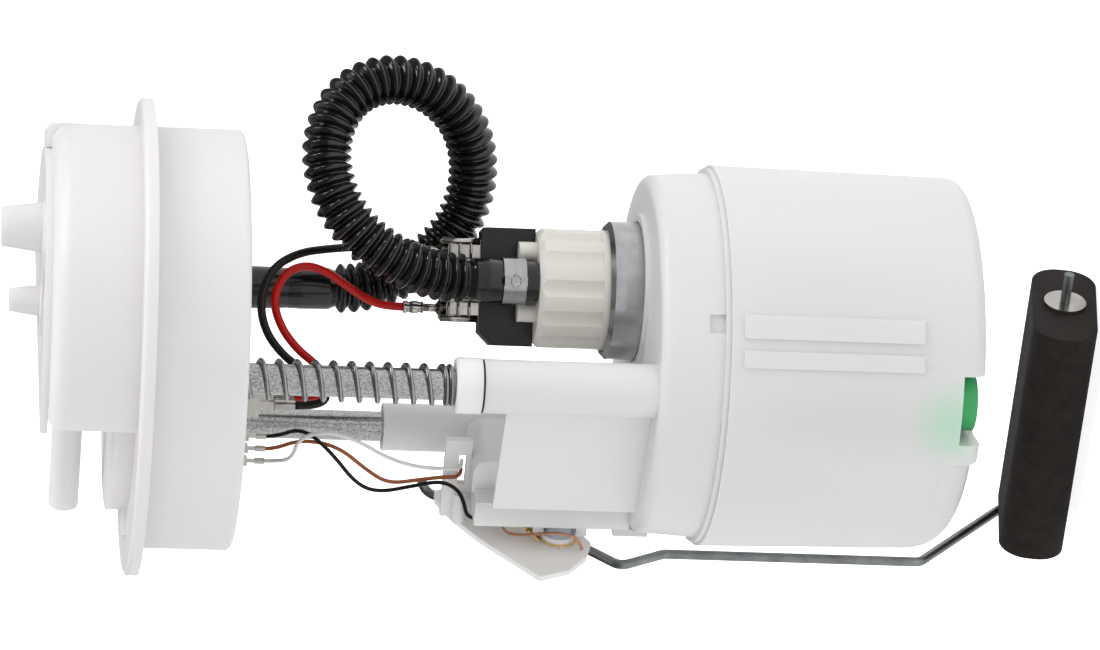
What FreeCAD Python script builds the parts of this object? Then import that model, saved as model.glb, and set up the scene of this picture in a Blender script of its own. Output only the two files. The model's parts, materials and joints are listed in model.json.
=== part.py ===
import FreeCAD, Part
import math
import os
import Sketcher
from FreeCAD import Placement, Rotation, Vector

# Fuel pump module, lifted out of its tank. The tank flange is at the top, +Z points up out of the
# tank, and the origin is the middle of the flange ring's underside, where it seats on the tank.
# +X points to the side that carries the level sender. All sizes are millimetres.

doc = FreeCAD.newDocument("FuelPumpModule")

SIZES = {
    # Flange cap
    "ringRadius": 65.0, "ringThick": 3.6, "ringEdge": 1.2,
    "skirtRadius": 57.4, "skirtDrop": 25.0, "skirtRound": 1.6,
    "capWall": 2.4,
    "deckRadius": 47.2, "deckTop": 9.0,
    "drumTop": 27.0, "drumRound": 5.0, "drumCut": -4.2,
    "lidRise": 2.0, "lidRadius": 51.0, "lidReach": 0.6,
    "lugWidth": 18.0, "lugRound": 2.2, "lugRise": 1.5, "lugHigh": 8.1, "lugIn": 50.4, "lugInset": 0.2,
    "lugTurn": 210.0,
    "stubWall": 1.8,
    "pipeRadius": 4.15, "pipeBore": 2.7, "pipeHeight": 19.4, "pipeReach": 54.0,
    "vent1X": -29.9, "vent1Y": -5.7, "vent1Base": 7.25, "vent1Tip": 5.45, "vent1Top": 39.8,
    "vent2X": -12.0, "vent2Y": 2.8, "vent2Base": 4.65, "vent2Tip": 3.2, "vent2Top": 37.2,
    "stepReach": 53.7, "stepWidth": 16.0, "stepRise": 1.4, "stepTurn": 30.0,
    "rodBoss": 7.2, "rodBossDrop": 8.0, "rodGrip": 5.0,
    "plugX": -22.0, "plugY": 24.0, "plugLong": 24.0, "plugWide": 12.0, "plugDepth": 14.0,
    "pinWidth": 2.8, "pinThick": 0.8, "pinRise": 10.0, "pinPitch": 4.4, "pinTail": 8.0,
    # Guide rods, spring and clips
    "rodRadius": 4.2, "rodBore": 3.2, "rodEnd": 185.0,
    "rod1X": -10.6, "rod1Y": 38.3, "rod2X": 36.3, "rod2Y": -16.9,
    "clipRadius": 6.4, "clipThick": 2.6, "clipBack": 1.0, "rodEdge": 0.6,
    "springWire": 1.4, "springPitch": 4.77, "springGap": 0.1, "springRest": 0.1,
    "slideGap": 0.08,
    # Reservoir cover with its guide sleeves
    "coverRadius": 50.2, "coverTop": 135.5, "coverWall": 2.2, "coverRound": 3.0, "coverPlug": 162.0,
    "beadRadius": 51.6, "beadHigh": 1.4,
    "sleeve1Radius": 7.3, "sleeve1Top": 88.8, "sleeve2Radius": 6.7, "sleeve2Top": 69.0,
    "sleeveEnd": 181.0, "bushRadius": 7.6, "bushTop": 81.2, "bushHigh": 7.0, "bushEdge": 0.6,
    "sealInset": 0.4, "coverDraft": 1.0, "canCollar": 10.0,
    "webThick": 2.0, "webTop": 96.0, "webInner": -4.0, "webOuter": 33.0, "webFront": 28.0, "canGap": 0.3,
    "plugGap": 0.1,
    # Reservoir bucket
    "bucketRadius": 52.5, "bucketTop": 153.7, "bucketEnd": 223.5, "bucketWall": 2.0,
    "bucketDraft": 1.2, "bucketRound": 4.0, "wellRadius": 8.8, "wellTop": 170.0, "wellWall": 1.3,
    "wellSlot": 6.0, "wellSlotTop": 203.5, "ribWide": 1.5, "ribThick": 1.6, "ribIn": 21.0,
    "footRadius": 7.9, "footDrop": 4.9, "footBody": 6.5, "footRise": 5.6,
    "footPort": 3.2, "footRoom": 5.2, "seatSink": 0.8, "footLip": 1.2,
    "bayRadius": 9.6, "bayWall": 1.6, "bayDepth": 6.3, "bayReach": 10.0,
    "bayEnd": "=bucketEnd - bayDepth", "footTop": "=bayEnd - footRise", "footSeat": "=bayEnd - seatSink",
    "cornerRound": 11.0, "cornerFrom": -40.0, "cornerTo": 88.0,
    "windowTurn": 130.0, "windowWide": 5.1, "windowHigh": 4.4, "windowTop": 148.0, "windowDeep": 1.1,
    "panelRise": 0.7, "panelTop": 157.0, "panelEnd": 206.0,
    "discRadius": 4.7, "discThick": 1.2, "discPlay": 0.1,
    # Fuel pump
    "pumpX": -14.7, "pumpY": -8.5, "pumpTurn": 210.0,
    "canRadius": 19.0, "canWall": 1.2, "canTop": 125.5, "canEnd": 204.5, "canLip": 17.0,
    "headRadius": 16.5, "headRise": 19.2, "headFoot": 17.7, "footHigh": 7.3, "headChamfer": 1.6,
    "roofSink": 2.3, "canCurl": 1.2, "bearingRadius": 3.6, "shaftGap": 0.05, "shaftIn": 2.0,
    "headTop": "=canTop - headRise", "headBase": "=canTop + canWall + footHigh",
    "headRoof": "=canTop + canWall + roofSink", "bearingHigh": "=footHigh - roofSink",
    "shaftEndGap": 0.3, "spacerGap": 0.5, "sockRound": 2.0, "brushGap": 0.05, "brushSeat": 2.0,
    "brushTop": "=headBase + brushSeat", "ballCoilSink": 0.7,
    "scallopRadius": 4.0, "scallopDepth": 0.9, "scallopCount": 12,
    "nipX": 1.5, "nipY": -9.5, "nipRadius": 4.2, "nipBore": 2.6, "nipRise": 16.3,
    "boss1X": 9.8, "boss2X": -6.8, "bossY": -4.3, "bossRadius": 2.7, "bossRise": 4.9,
    "nipTop": "=headTop - nipRise", "bossTop": "=headTop - bossRise",
    "ballRadius": 2.9, "ballRoom": 3.6, "ballSeatSink": 11.7, "ballRoomSink": 2.3, "seatBore": 2.2,
    "ballSeat": "=headTop + ballSeatSink", "ballRoomTop": "=headTop + ballRoomSink",
    "ballWire": 0.5, "ballCoil": 2.3,
    "blockLong": 32.4, "blockWide": 8.6, "blockY": 2.8, "blockHigh": 14.8, "blockCut": 1.2, "blockStep": 3.4,
    "blockTop": "=headTop - blockHigh",
    "tagThick": 0.8, "tagWidth": 6.3, "tagRise": 9.0, "tag1X": 9.5, "tag2X": -6.4, "tagY": 0.6,
    "lugLong": 11.0, "lugWide": 7.4, "lugThick": 2.6, "neckLong": 4.2, "neckWide": 2.4,
    "crimpRadius": 1.75, "crimpLong": 5.4,
    "magnetOuter": 17.6, "magnetInner": 13.6, "magnetSink": 12.0, "magnetEnd": 184.0,
    "magnetTop": "=headBase + magnetSink",
    "magnetAngle": 130.0,
    "coreRadius": 13.0, "coreInset": 3.0, "coreSlots": 8, "slotWide": 2.4,
    "slotDeep": 7.0, "shaftRadius": 1.6, "shaftEnd": 199.0,
    "coreTop": "=magnetTop + coreInset", "coreEnd": "=magnetEnd - coreInset",
    "shaftTop": "=headRoof + shaftIn", "commRadius": 8.0, "commSink": 9.0, "commHigh": 4.0,
    "commTop": "=headBase + commSink",
    "brushWide": 4.0, "brushAt": 5.4,
    "plateTop": 186.4, "plateThick": 3.2, "wheelRadius": 14.4, "wheelThick": 3.6, "wheelGap": 0.15,
    "vaneCount": 24, "vaneDeep": 2.2, "vaneWide": 1.6,
    "inletEnd": 208.5, "inletRadius": 4.5, "inletBore": 3.2, "inletX": -8.5,
    "isoTop": 194.0, "isoThick": 2.2, "isoLip": 13.0,
    "sockRadius": 13.4, "sockTop": 212.0, "sockEnd": 220.0,
    # Level sender
    "hubY": 15.5, "hubZ": 116.8, "hubRadius": 4.0, "hubGap": 0.08,
    "senderInner": 38.2, "senderOuter": 44.4, "senderBack": 9.6, "senderFront": 21.0,
    "senderTop": 92.5, "roomEdge": 1.0, "roomRise": 4.0, "lidThick": 1.2,
    "boxInner": 28.2, "boxFront": 13.5, "boxTop": 92.0, "boxRound": 4.0, "boxWall": 1.8,
    "earY": 4.6, "earThick": 2.2, "earInner": 26.0, "earOuter": 50.4, "earTop": 84.6, "earEnd": 94.6,
    "earSlotLong": 9.4, "earSlotWide": 2.0, "earSlotX": 35.2, "slotSpread": 1.3,
    "postRadius": 1.95, "postOuter": 50.8, "guardBack": 7.0, "guardFront": 18.6,
    "tagBack": 8.6, "tagEnd": 102.6, "tagSeat": 47.6, "tagOver": 0.3,
    "guardOuter": 48.4, "guardThick": 3.0, "guardGap": 0.5,
    "hookBack": 6.0, "hookWide": 5.0, "hookGap": 0.4, "hookEnd": 142.6, "hookOuter": 52.8, "hookThick": 2.6,
    "cardThick": 0.8, "cardLong": 29.0, "cardX": 41.2, "wiperX": 38.9, "wiperThick": 1.2, "wiperWide": 3.0,
    "wiperLong": 16.0, "wiperAngle": 40.0, "forkTop": 104.4, "forkWide": 5.0, "forkGap": 0.06,
    "forkSplit": 0.8, "forkFrom": 47.0,
    "holderInner": 51.7, "holderThick": 1.6, "holderRound": 0.8, "clipHigh": 3.4, "snapLong": 5.0,
    "snapWide": 5.4,
    "buttonRadius": 4.9, "buttonInner": 48.8, "ringHigh": 0.4, "ringInner": 50.2, "ringWide": 0.7,
    # Float arm
    "armWire": 1.35, "armX": 54.7, "armBend": 3.6,
    "floatTop": -18.3, "floatEnd": 52.7, "floatY": -2.8, "floatZ": 253.8,
    "floatWide": 40.0, "floatThick": 18.0, "floatRound": 1.0, "floatGap": 0.05, "floatLean": 9.0,
    "washerRadius": 5.85, "washerThick": 1.2, "tailEnd": -28.0,
    # Hose and wires
    "hoseRadius": 6.85, "hoseCuff": 5.75, "hoseBore": 4.2, "cuffLong": 19.0, "cuffIn": 26.0,
    "hoseTop": 1.0, "hoseSeat": 0.3, "hoseGap": 0.05, "clampGap": 0.1,
    "clampRadius": 6.55, "clampWide": 6.2, "clampRise": 9.9, "clampEar": 2.6, "clampAt": "=headTop - clampRise",
    "feedX": -8.6, "feedY": -14.2, "feedDrop": 12.0, "feedBore": 2.2,
    "galleryRadius": 3.5, "galleryBore": 2.5,
    "pumpWire": 1.15, "signalWire": 0.55, "braidWire": 0.375,
    "braceThick": 0.5, "plateWide": 5.6, "plateLong": 5.2, "wireLead": 5.0, "lugSeat": 0.3,
    "feed1X": 2.4, "feed1Y": 25.4, "feed2X": 1.6, "feed2Y": 31.0, "feedTop": 19.0, "bladeIn": 8.0,
    "signal1X": 30.4, "signalPitch": 4.0, "signalY": 0.0, "signalTop": 25.0, "signalTag": 2.8,
    "signalScale": 0.5,
}

PIN_COUNT = 5
PANEL_BANDS = ((117.0, 122.0), (125.5, 132.5))
CLIP_SHARES = (0.16, 0.80)

sheet = doc.addObject("Spreadsheet::Sheet", "Dim")
for row, (alias, value) in enumerate(SIZES.items(), start=1):
    sheet.set(f"A{row}", alias)
    sheet.set(f"B{row}", str(value))
    sheet.setAlias(f"B{row}", alias)
doc.recompute()


class Sizes:
    """Reads a size back from the sheet by its name."""

    def __getattr__(self, alias):
        return float(sheet.get(alias))


d = Sizes()


# Helpers for sketches and features. A size is an expression such as "Dim.ringRadius".

def number(expression):
    return float(sheet.evalExpression(str(expression)))


def new_body(label):
    body = doc.addObject("PartDesign::Body", label)
    body.Label = label
    return body


def new_sketch(body, name, plane="XY_Plane", height="0"):
    origin = [o for o in body.Origin.OriginFeatures if o.Role == plane][0]
    sketch = body.newObject("Sketcher::SketchObject", name)
    sketch.AttachmentSupport = [(origin, "")]
    sketch.MapMode = "FlatFace"
    sketch.setExpression("AttachmentOffset.Base.z", str(height))
    return sketch


def fix(sketch, kind, geometry, point, expression):
    """Ties one coordinate of a point of the sketch to an expression."""
    here = Sketcher.Constraint(kind, geometry, point, number(expression))
    index = sketch.addConstraint(here)
    sketch.setExpression(f"Constraints[{index}]", str(expression))


def draw_polygon(sketch, corners):
    first = sketch.GeometryCount
    places = [Vector(number(x), number(y), 0) for x, y in corners]
    for start, end in zip(places, places[1:] + places[:1]):
        sketch.addGeometry(Part.LineSegment(start, end))
    for index, (x, y) in enumerate(corners):
        before = first + (index - 1) % len(corners)
        sketch.addConstraint(Sketcher.Constraint("Coincident", before, 2, first + index, 1))
        fix(sketch, "DistanceX", first + index, 1, x)
        fix(sketch, "DistanceY", first + index, 1, y)


def draw_box(sketch, left, right, low, high):
    draw_polygon(sketch, [(left, low), (right, low), (right, high), (left, high)])


def draw_circle(sketch, x, y, radius):
    circle = Part.Circle(Vector(number(x), number(y), 0), Vector(0, 0, 1), number(radius))
    index = sketch.addGeometry(circle)
    fix(sketch, "DistanceX", index, 3, x)
    fix(sketch, "DistanceY", index, 3, y)
    ring = sketch.addConstraint(Sketcher.Constraint("Radius", index, number(radius)))
    sketch.setExpression(f"Constraints[{ring}]", str(radius))


def pad(body, sketch, length, reverse=False):
    feature = body.newObject("PartDesign::Pad", sketch.Name + "_pad")
    feature.Profile = sketch
    feature.setExpression("Length", str(length))
    feature.Reversed = reverse
    return feature


def pocket(body, sketch, length, reverse=False):
    feature = body.newObject("PartDesign::Pocket", sketch.Name + "_pocket")
    feature.Profile = sketch
    feature.setExpression("Length", str(length))
    feature.Reversed = reverse
    return feature


def revolve(body, sketch, groove=False):
    kind = "PartDesign::Groove" if groove else "PartDesign::Revolution"
    feature = body.newObject(kind, sketch.Name + "_turn")
    feature.Profile = sketch
    feature.ReferenceAxis = (sketch, ["V_Axis"])
    feature.Angle = 360.0
    return feature


def revolve_sector(body, sketch, start, end, groove=False):
    """Turns a profile of the XZ plane about the Z axis, from one angle to another."""
    first, last = number(start), number(end)
    sketch.AttachmentOffset = Placement(sketch.AttachmentOffset.Base, Rotation(Vector(0, 1, 0), first))
    feature = revolve(body, sketch, groove)
    feature.Angle = last - first
    return feature


def turned_box(body, kind, name, angle, near, far, width, low, high):
    """A box whose length points away from the Z axis at an angle in degrees."""
    turn = number(angle)
    side, start = number(width) / 2, number(near)
    corner = Rotation(Vector(0, 0, 1), turn).multVec(Vector(start, -side, 0))
    return solid(body, kind, name, (corner.x, corner.y, low), Rotation(Vector(0, 0, 1), turn),
                 Length=f"{far} - ({near})", Width=width, Height=f"{high} - ({low})")


def repeat_round(body, feature, count):
    doc.recompute()
    pattern = body.newObject("PartDesign::PolarPattern", feature.Name + "_ring")
    pattern.Originals = [feature]
    axis = [o for o in body.Origin.OriginFeatures if o.Role == "Z_Axis"][0]
    pattern.Axis = (axis, [""])
    pattern.Angle = 360.0
    pattern.setExpression("Occurrences", str(count))
    body.Tip = pattern
    return pattern


def fillet(body, radius, wanted, kind="PartDesign::Fillet"):
    """Rounds the edges of the body's tip for which wanted(edge) is true."""
    doc.recompute()
    base = body.Tip
    names = [f"Edge{i}" for i, edge in enumerate(base.Shape.Edges, start=1) if wanted(edge)]
    feature = body.newObject(kind, base.Name + "_round")
    feature.Base = (base, names)
    feature.setExpression("Size" if kind.endswith("Chamfer") else "Radius", str(radius))
    doc.recompute()
    return feature


def ring_edge(height, radius, reach=0.02):
    """True for a round edge at this height with this radius."""
    def wanted(edge):
        curve = edge.Curve
        if not isinstance(curve, Part.Circle):
            return False
        flat = abs(edge.BoundBox.ZMin - height) < reach and abs(edge.BoundBox.ZMax - height) < reach
        return flat and abs(curve.Radius - radius) < reach
    return wanted


def solid(body, kind, name, place, turn=None, **sizes):
    """A primitive added to or cut from a body; place and sizes are expressions."""
    feature = body.newObject("PartDesign::" + kind, name)
    for size, expression in sizes.items():
        feature.setExpression(size, str(expression))
    feature.Placement = Placement(Vector(*[number(axis) for axis in place]), turn or Rotation())
    for axis, expression in zip("xyz", place):
        feature.setExpression("Placement.Base." + axis, str(expression))
    return feature


def tube(label, outer, inner, low, high, x="0", y="0"):
    """A round tube between two heights, or a rod where inner is None."""
    body = new_body(label)
    sketch = new_sketch(body, label + "_ring", height=low)
    draw_circle(sketch, x, y, outer)
    if inner is not None:
        draw_circle(sketch, x, y, inner)
    pad(body, sketch, f"({high}) - ({low})")
    return body


def turned(label, profile):
    """A body turned about its Z axis from corners given as radius and height."""
    body = new_body(label)
    sketch = new_sketch(body, label + "_profile", "XZ_Plane")
    draw_polygon(sketch, profile)
    revolve(body, sketch)
    return body


def place_at_pump(body):
    body.setExpression("Placement.Base.x", "Dim.pumpX")
    body.setExpression("Placement.Base.y", "Dim.pumpY")
    body.setExpression("Placement.Rotation.Angle", "Dim.pumpTurn")
    body.Placement = Placement(Vector(d.pumpX, d.pumpY, 0), Rotation(Vector(0, 0, 1), d.pumpTurn))
    return body


def shape_node(label, shape):
    feature = doc.addObject("Part::Feature", label)
    feature.Label = label
    feature.Shape = shape
    return feature


def at_pump(x, y, z):
    """A point of the pump's own frame, in the module's frame."""
    turn = Rotation(Vector(0, 0, 1), d.pumpTurn)
    return Vector(d.pumpX, d.pumpY, 0) + turn.multVec(Vector(x, y, z))


# Helpers for cords: straight runs joined by tangent arcs.

def rounded_path(points, radius=None, report=""):
    """A wire through the points with an arc at each corner, as large as its runs allow."""
    edges, start, radii = [], points[0], []
    for before, corner, after in zip(points, points[1:], points[2:]):
        back, ahead = before - corner, after - corner
        turn = math.pi - back.getAngle(ahead)
        shorter = min(back.Length, ahead.Length)
        size = radius or 0.45 * shorter / math.tan(turn / 2)
        cut = size * math.tan(turn / 2)
        first, last = corner + back.normalize() * cut, corner + ahead.normalize() * cut
        middle_way = (back + ahead).normalize()
        centre = corner + middle_way * (size / math.cos(turn / 2))
        edges.append(Part.LineSegment(start, first).toShape())
        edges.append(Part.Arc(first, centre - middle_way * size, last).toShape())
        start = last
        radii.append(round(size, 1))
    edges.append(Part.LineSegment(start, points[-1]).toShape())
    if report:
        print(report, "bend radii", radii, "length", round(sum(e.Length for e in edges), 1))
    return Part.Wire(edges)


def swept(path, radius):
    """A round bar along a path of runs and arcs."""
    first = path.OrderedEdges[0]
    start, way = first.valueAt(first.FirstParameter), first.tangentAt(first.FirstParameter)
    ring = Part.Wire(Part.Circle(start, way, radius).toShape())
    solid = path.makePipeShell([ring], True, True)
    if solid.Volume < 0:
        solid.reverse()
    return solid


def box_between(x1, x2, y1, y2, z1, z2):
    return Part.makeBox(x2 - x1, y2 - y1, z2 - z1, Vector(x1, y1, z1))


# Flange cap: ring, skirt, lower deck, half-round drum with a lid, outlet pipe and two vent stubs

def draw_half_disc(sketch, radius, cut):
    """The part of a disc on the far side of the line x = cut."""
    r, x = number(radius), number(cut)
    y = math.sqrt(r * r - x * x)
    angle = math.atan2(y, x)
    circle = Part.Circle(Vector(0, 0, 0), Vector(0, 0, 1), r)
    arc = sketch.addGeometry(Part.ArcOfCircle(circle, angle, 2 * math.pi - angle))
    line = sketch.addGeometry(Part.LineSegment(Vector(x, -y, 0), Vector(x, y, 0)))
    sketch.addConstraint(Sketcher.Constraint("Coincident", arc, 2, line, 1))
    sketch.addConstraint(Sketcher.Constraint("Coincident", line, 2, arc, 1))
    sketch.addConstraint(Sketcher.Constraint("Coincident", arc, 3, -1, 1))
    sketch.addConstraint(Sketcher.Constraint("Vertical", line))
    ring = sketch.addConstraint(Sketcher.Constraint("Radius", arc, r))
    sketch.setExpression(f"Constraints[{ring}]", str(radius))
    fix(sketch, "DistanceX", line, 1, cut)


def add_stub(body, name, x, y, base, tip, top):
    """A hollow vent stub, a slim cone on the drum."""
    root = "(Dim.drumTop - Dim.capWall / 2)"
    solid(body, "AdditiveCone", name, (x, y, root), Radius1=base, Radius2=tip, Height=f"{top} - {root}")
    solid(body, "SubtractiveCone", name + "_bore", (x, y, "(Dim.drumTop - Dim.capWall)"),
          Radius1=f"{base} - Dim.stubWall", Radius2=f"{tip} - Dim.stubWall",
          Height=f"{top} - Dim.drumTop")


def make_flange_cap():
    body = turned("flange_cap", [
        ("0", "Dim.deckTop"), ("Dim.deckRadius", "Dim.deckTop"), ("Dim.deckRadius", "Dim.ringThick"),
        ("Dim.ringRadius", "Dim.ringThick"), ("Dim.ringRadius", "0"), ("Dim.skirtRadius", "0"),
        ("Dim.skirtRadius", "-Dim.skirtDrop"), ("Dim.skirtRadius - Dim.capWall", "-Dim.skirtDrop"),
        ("Dim.skirtRadius - Dim.capWall", "Dim.ringThick - Dim.capWall"),
        ("Dim.deckRadius - Dim.capWall", "Dim.ringThick - Dim.capWall"),
        ("Dim.deckRadius - Dim.capWall", "Dim.deckTop - Dim.capWall"),
        ("0", "Dim.deckTop - Dim.capWall")])
    fillet(body, "Dim.skirtRound", ring_edge(-d.skirtDrop, d.skirtRadius))
    fillet(body, "Dim.ringEdge", ring_edge(d.ringThick, d.ringRadius))
    drum = new_sketch(body, "drum")
    draw_half_disc(drum, "Dim.skirtRadius", "Dim.drumCut")
    pad(body, drum, "Dim.drumTop")
    turned_box(body, "AdditiveBox", "step", "Dim.stepTurn", "Dim.deckRadius - Dim.capWall", "Dim.stepReach",
               "Dim.stepWidth", "Dim.ringThick - Dim.capWall / 2", "Dim.ringThick + Dim.stepRise")
    fillet(body, "Dim.drumRound", ring_edge(d.drumTop, d.skirtRadius))
    lid = new_sketch(body, "lid", height="Dim.drumTop")
    draw_half_disc(lid, "Dim.lidRadius", "Dim.lidReach")
    pad(body, lid, "Dim.lidRise")
    turned_box(body, "AdditiveBox", "lug", "Dim.lugTurn", "Dim.lugIn", "Dim.skirtRadius - Dim.lugInset",
               "Dim.lugWidth", "Dim.drumTop + Dim.lugRise - Dim.lugHigh", "Dim.drumTop + Dim.lugRise")
    fillet(body, "Dim.lugRound", lambda edge: abs(edge.CenterOfMass.z - d.drumTop - d.lugRise) < 0.01
           and abs(math.hypot(*edge.CenterOfMass[:2]) - d.skirtRadius + d.lugInset) < 0.01)
    hollow = new_sketch(body, "drum_hollow", height="Dim.drumTop - Dim.capWall")
    draw_half_disc(hollow, "Dim.skirtRadius - Dim.capWall", "Dim.drumCut - Dim.capWall")
    pocket(body, hollow, "Dim.drumTop")
    inside = "(Dim.deckRadius - Dim.capWall * 2)"
    solid(body, "SubtractiveBox", "wall_relief", ("Dim.drumCut - Dim.capWall * 2", f"-{inside}", "-Dim.capWall"),
          Length="Dim.capWall * 2", Width=f"{inside} * 2", Height="Dim.deckTop")

    ceiling = "(Dim.drumTop - Dim.capWall / 2)"
    foot = "(-Dim.rodBossDrop)"
    for name, x, y, top in (("front", "Dim.rod1X", "Dim.rod1Y", ceiling),
                            ("rear", "Dim.rod2X", "Dim.rod2Y", "(Dim.deckTop - Dim.capWall / 2)")):
        solid(body, "AdditiveCylinder", name + "_rod_boss", (x, y, foot), Radius="Dim.rodBoss",
              Height=f"{top} - {foot}")
        solid(body, "SubtractiveCylinder", name + "_rod_hole", (x, y, foot), Radius="Dim.rodRadius",
              Height=f"Dim.rodGrip - {foot}")
    feed = ("Dim.feedX", "Dim.feedY", "-Dim.feedDrop")
    level = Rotation(Vector(1, 0, 0), -90)
    solid(body, "AdditiveCylinder", "feed_nipple", feed, Radius="Dim.hoseBore",
          Height=f"{ceiling} + Dim.feedDrop")
    gallery = ("Dim.feedX", "Dim.feedY - Dim.feedBore / 2", "Dim.pipeHeight")
    solid(body, "AdditiveCylinder", "feed_gallery", gallery, level,
          Radius="Dim.galleryRadius", Height="Dim.feedBore / 2 - Dim.feedY")
    east = Rotation(Vector(0, 1, 0), 90)
    solid(body, "AdditiveCylinder", "outlet_pipe", ("Dim.feedX - Dim.pipeRadius", "0", "Dim.pipeHeight"),
          east, Radius="Dim.pipeRadius", Height="Dim.pipeReach - Dim.feedX + Dim.pipeRadius")
    solid(body, "SubtractiveCylinder", "outlet_bore", ("Dim.feedX - Dim.pipeBore", "0", "Dim.pipeHeight"),
          east, Radius="Dim.pipeBore", Height="Dim.pipeReach - Dim.feedX + Dim.pipeBore * 2")
    solid(body, "SubtractiveCylinder", "gallery_bore", gallery, level, Radius="Dim.galleryBore",
          Height="Dim.feedBore / 2 - Dim.feedY")
    solid(body, "SubtractiveCylinder", "feed_bore", feed, Radius="Dim.feedBore",
          Height="Dim.pipeHeight + Dim.feedDrop")
    add_stub(body, "vent_stub_1", "Dim.vent1X", "Dim.vent1Y", "Dim.vent1Base", "Dim.vent1Tip", "Dim.vent1Top")
    add_stub(body, "vent_stub_2", "Dim.vent2X", "Dim.vent2Y", "Dim.vent2Base", "Dim.vent2Tip", "Dim.vent2Top")

    low = "(Dim.drumTop - Dim.plugDepth)"
    left, front = "(Dim.plugX - Dim.plugLong / 2)", "(Dim.plugY - Dim.plugWide / 2)"
    solid(body, "AdditiveBox", "plug_shell", (f"{left} - Dim.capWall", f"{front} - Dim.capWall",
                                              f"{low} - Dim.capWall"),
          Length="Dim.plugLong + Dim.capWall * 2", Width="Dim.plugWide + Dim.capWall * 2",
          Height="Dim.plugDepth")
    recess = new_sketch(body, "plug_recess", height="Dim.drumTop + Dim.lidRise")
    draw_box(recess, left, f"{left} + Dim.plugLong", front, f"{front} + Dim.plugWide")
    pocket(body, recess, "Dim.plugDepth + Dim.lidRise")
    for index in range(PIN_COUNT):
        solid(body, "SubtractiveBox", f"pin_slot_{index + 1}",
              (pin_place(index), "Dim.plugY - Dim.pinThick / 2", f"{low} - Dim.capWall * 2"),
              Length="Dim.pinWidth", Width="Dim.pinThick", Height="Dim.capWall * 3")
    return body


def pin_place(index):
    """Left side of one connector pin, counted from the middle of the plug."""
    return f"Dim.plugX + Dim.pinPitch * {index - (PIN_COUNT - 1) / 2} - Dim.pinWidth / 2"


def make_connector_pins():
    body = new_body("connector_pins")
    row_of_pins = new_sketch(body, "pins", height="Dim.drumTop - Dim.plugDepth - Dim.pinTail")
    for index in range(PIN_COUNT):
        draw_box(row_of_pins, pin_place(index), f"{pin_place(index)} + Dim.pinWidth",
                 "Dim.plugY - Dim.pinThick / 2", "Dim.plugY + Dim.pinThick / 2")
    pad(body, row_of_pins, "Dim.pinTail + Dim.pinRise")
    body.AllowCompound = True
    return body


# Rods, clips, spring, bush and seal

def make_rods():
    for name, x, y in (("front", "Dim.rod1X", "Dim.rod1Y"), ("rear", "Dim.rod2X", "Dim.rod2Y")):
        rod = tube(f"guide_rod_{name}", "Dim.rodRadius", "Dim.rodBore", "-Dim.rodEnd", "Dim.rodGrip", x, y)
        fillet(rod, "Dim.rodEdge", ring_edge(-d.rodEnd, d.rodRadius), "PartDesign::Chamfer")
        tube(f"rod_clip_{name}", "Dim.clipRadius", "Dim.rodRadius", "-Dim.rodEnd + Dim.clipBack",
             "-Dim.rodEnd + Dim.clipBack + Dim.clipThick", x, y)


def make_spring():
    """The compression spring round the front rod, between the cap's boss and the guide bush."""
    low, high = -d.bushTop + d.springWire / 2 + d.springRest, -d.rodBossDrop - d.springWire / 2
    turns = round((high - low) / d.springPitch)
    radius = d.rodRadius + d.springGap + d.springWire / 2
    helix = Part.makeHelix((high - low) / turns, high - low, radius)
    ring = Part.Wire(Part.Circle(Vector(radius, 0, 0), Vector(0, 1, 0), d.springWire / 2).toShape())
    coil = Part.Wire(helix.Edges).makePipeShell([ring], True, True)
    coil.translate(Vector(d.rod1X, d.rod1Y, low))
    shape_node("coil_spring", coil)


def make_bush():
    x, y = "Dim.rod1X", "Dim.rod1Y"
    bush = tube("guide_bush", "Dim.bushRadius", "Dim.rodRadius + Dim.slideGap",
                "-Dim.bushTop - Dim.bushHigh", "-Dim.bushTop", x, y)
    fillet(bush, "Dim.bushEdge", ring_edge(-d.bushTop, d.bushRadius), "PartDesign::Chamfer")
    tube("bush_seal", "Dim.bushRadius - Dim.sealInset", "Dim.rodRadius + Dim.sealInset",
         "-Dim.sleeve1Top", "-Dim.bushTop - Dim.bushHigh", x, y)


# Reservoir cover with the two guide sleeves, and the bucket below it

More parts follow.
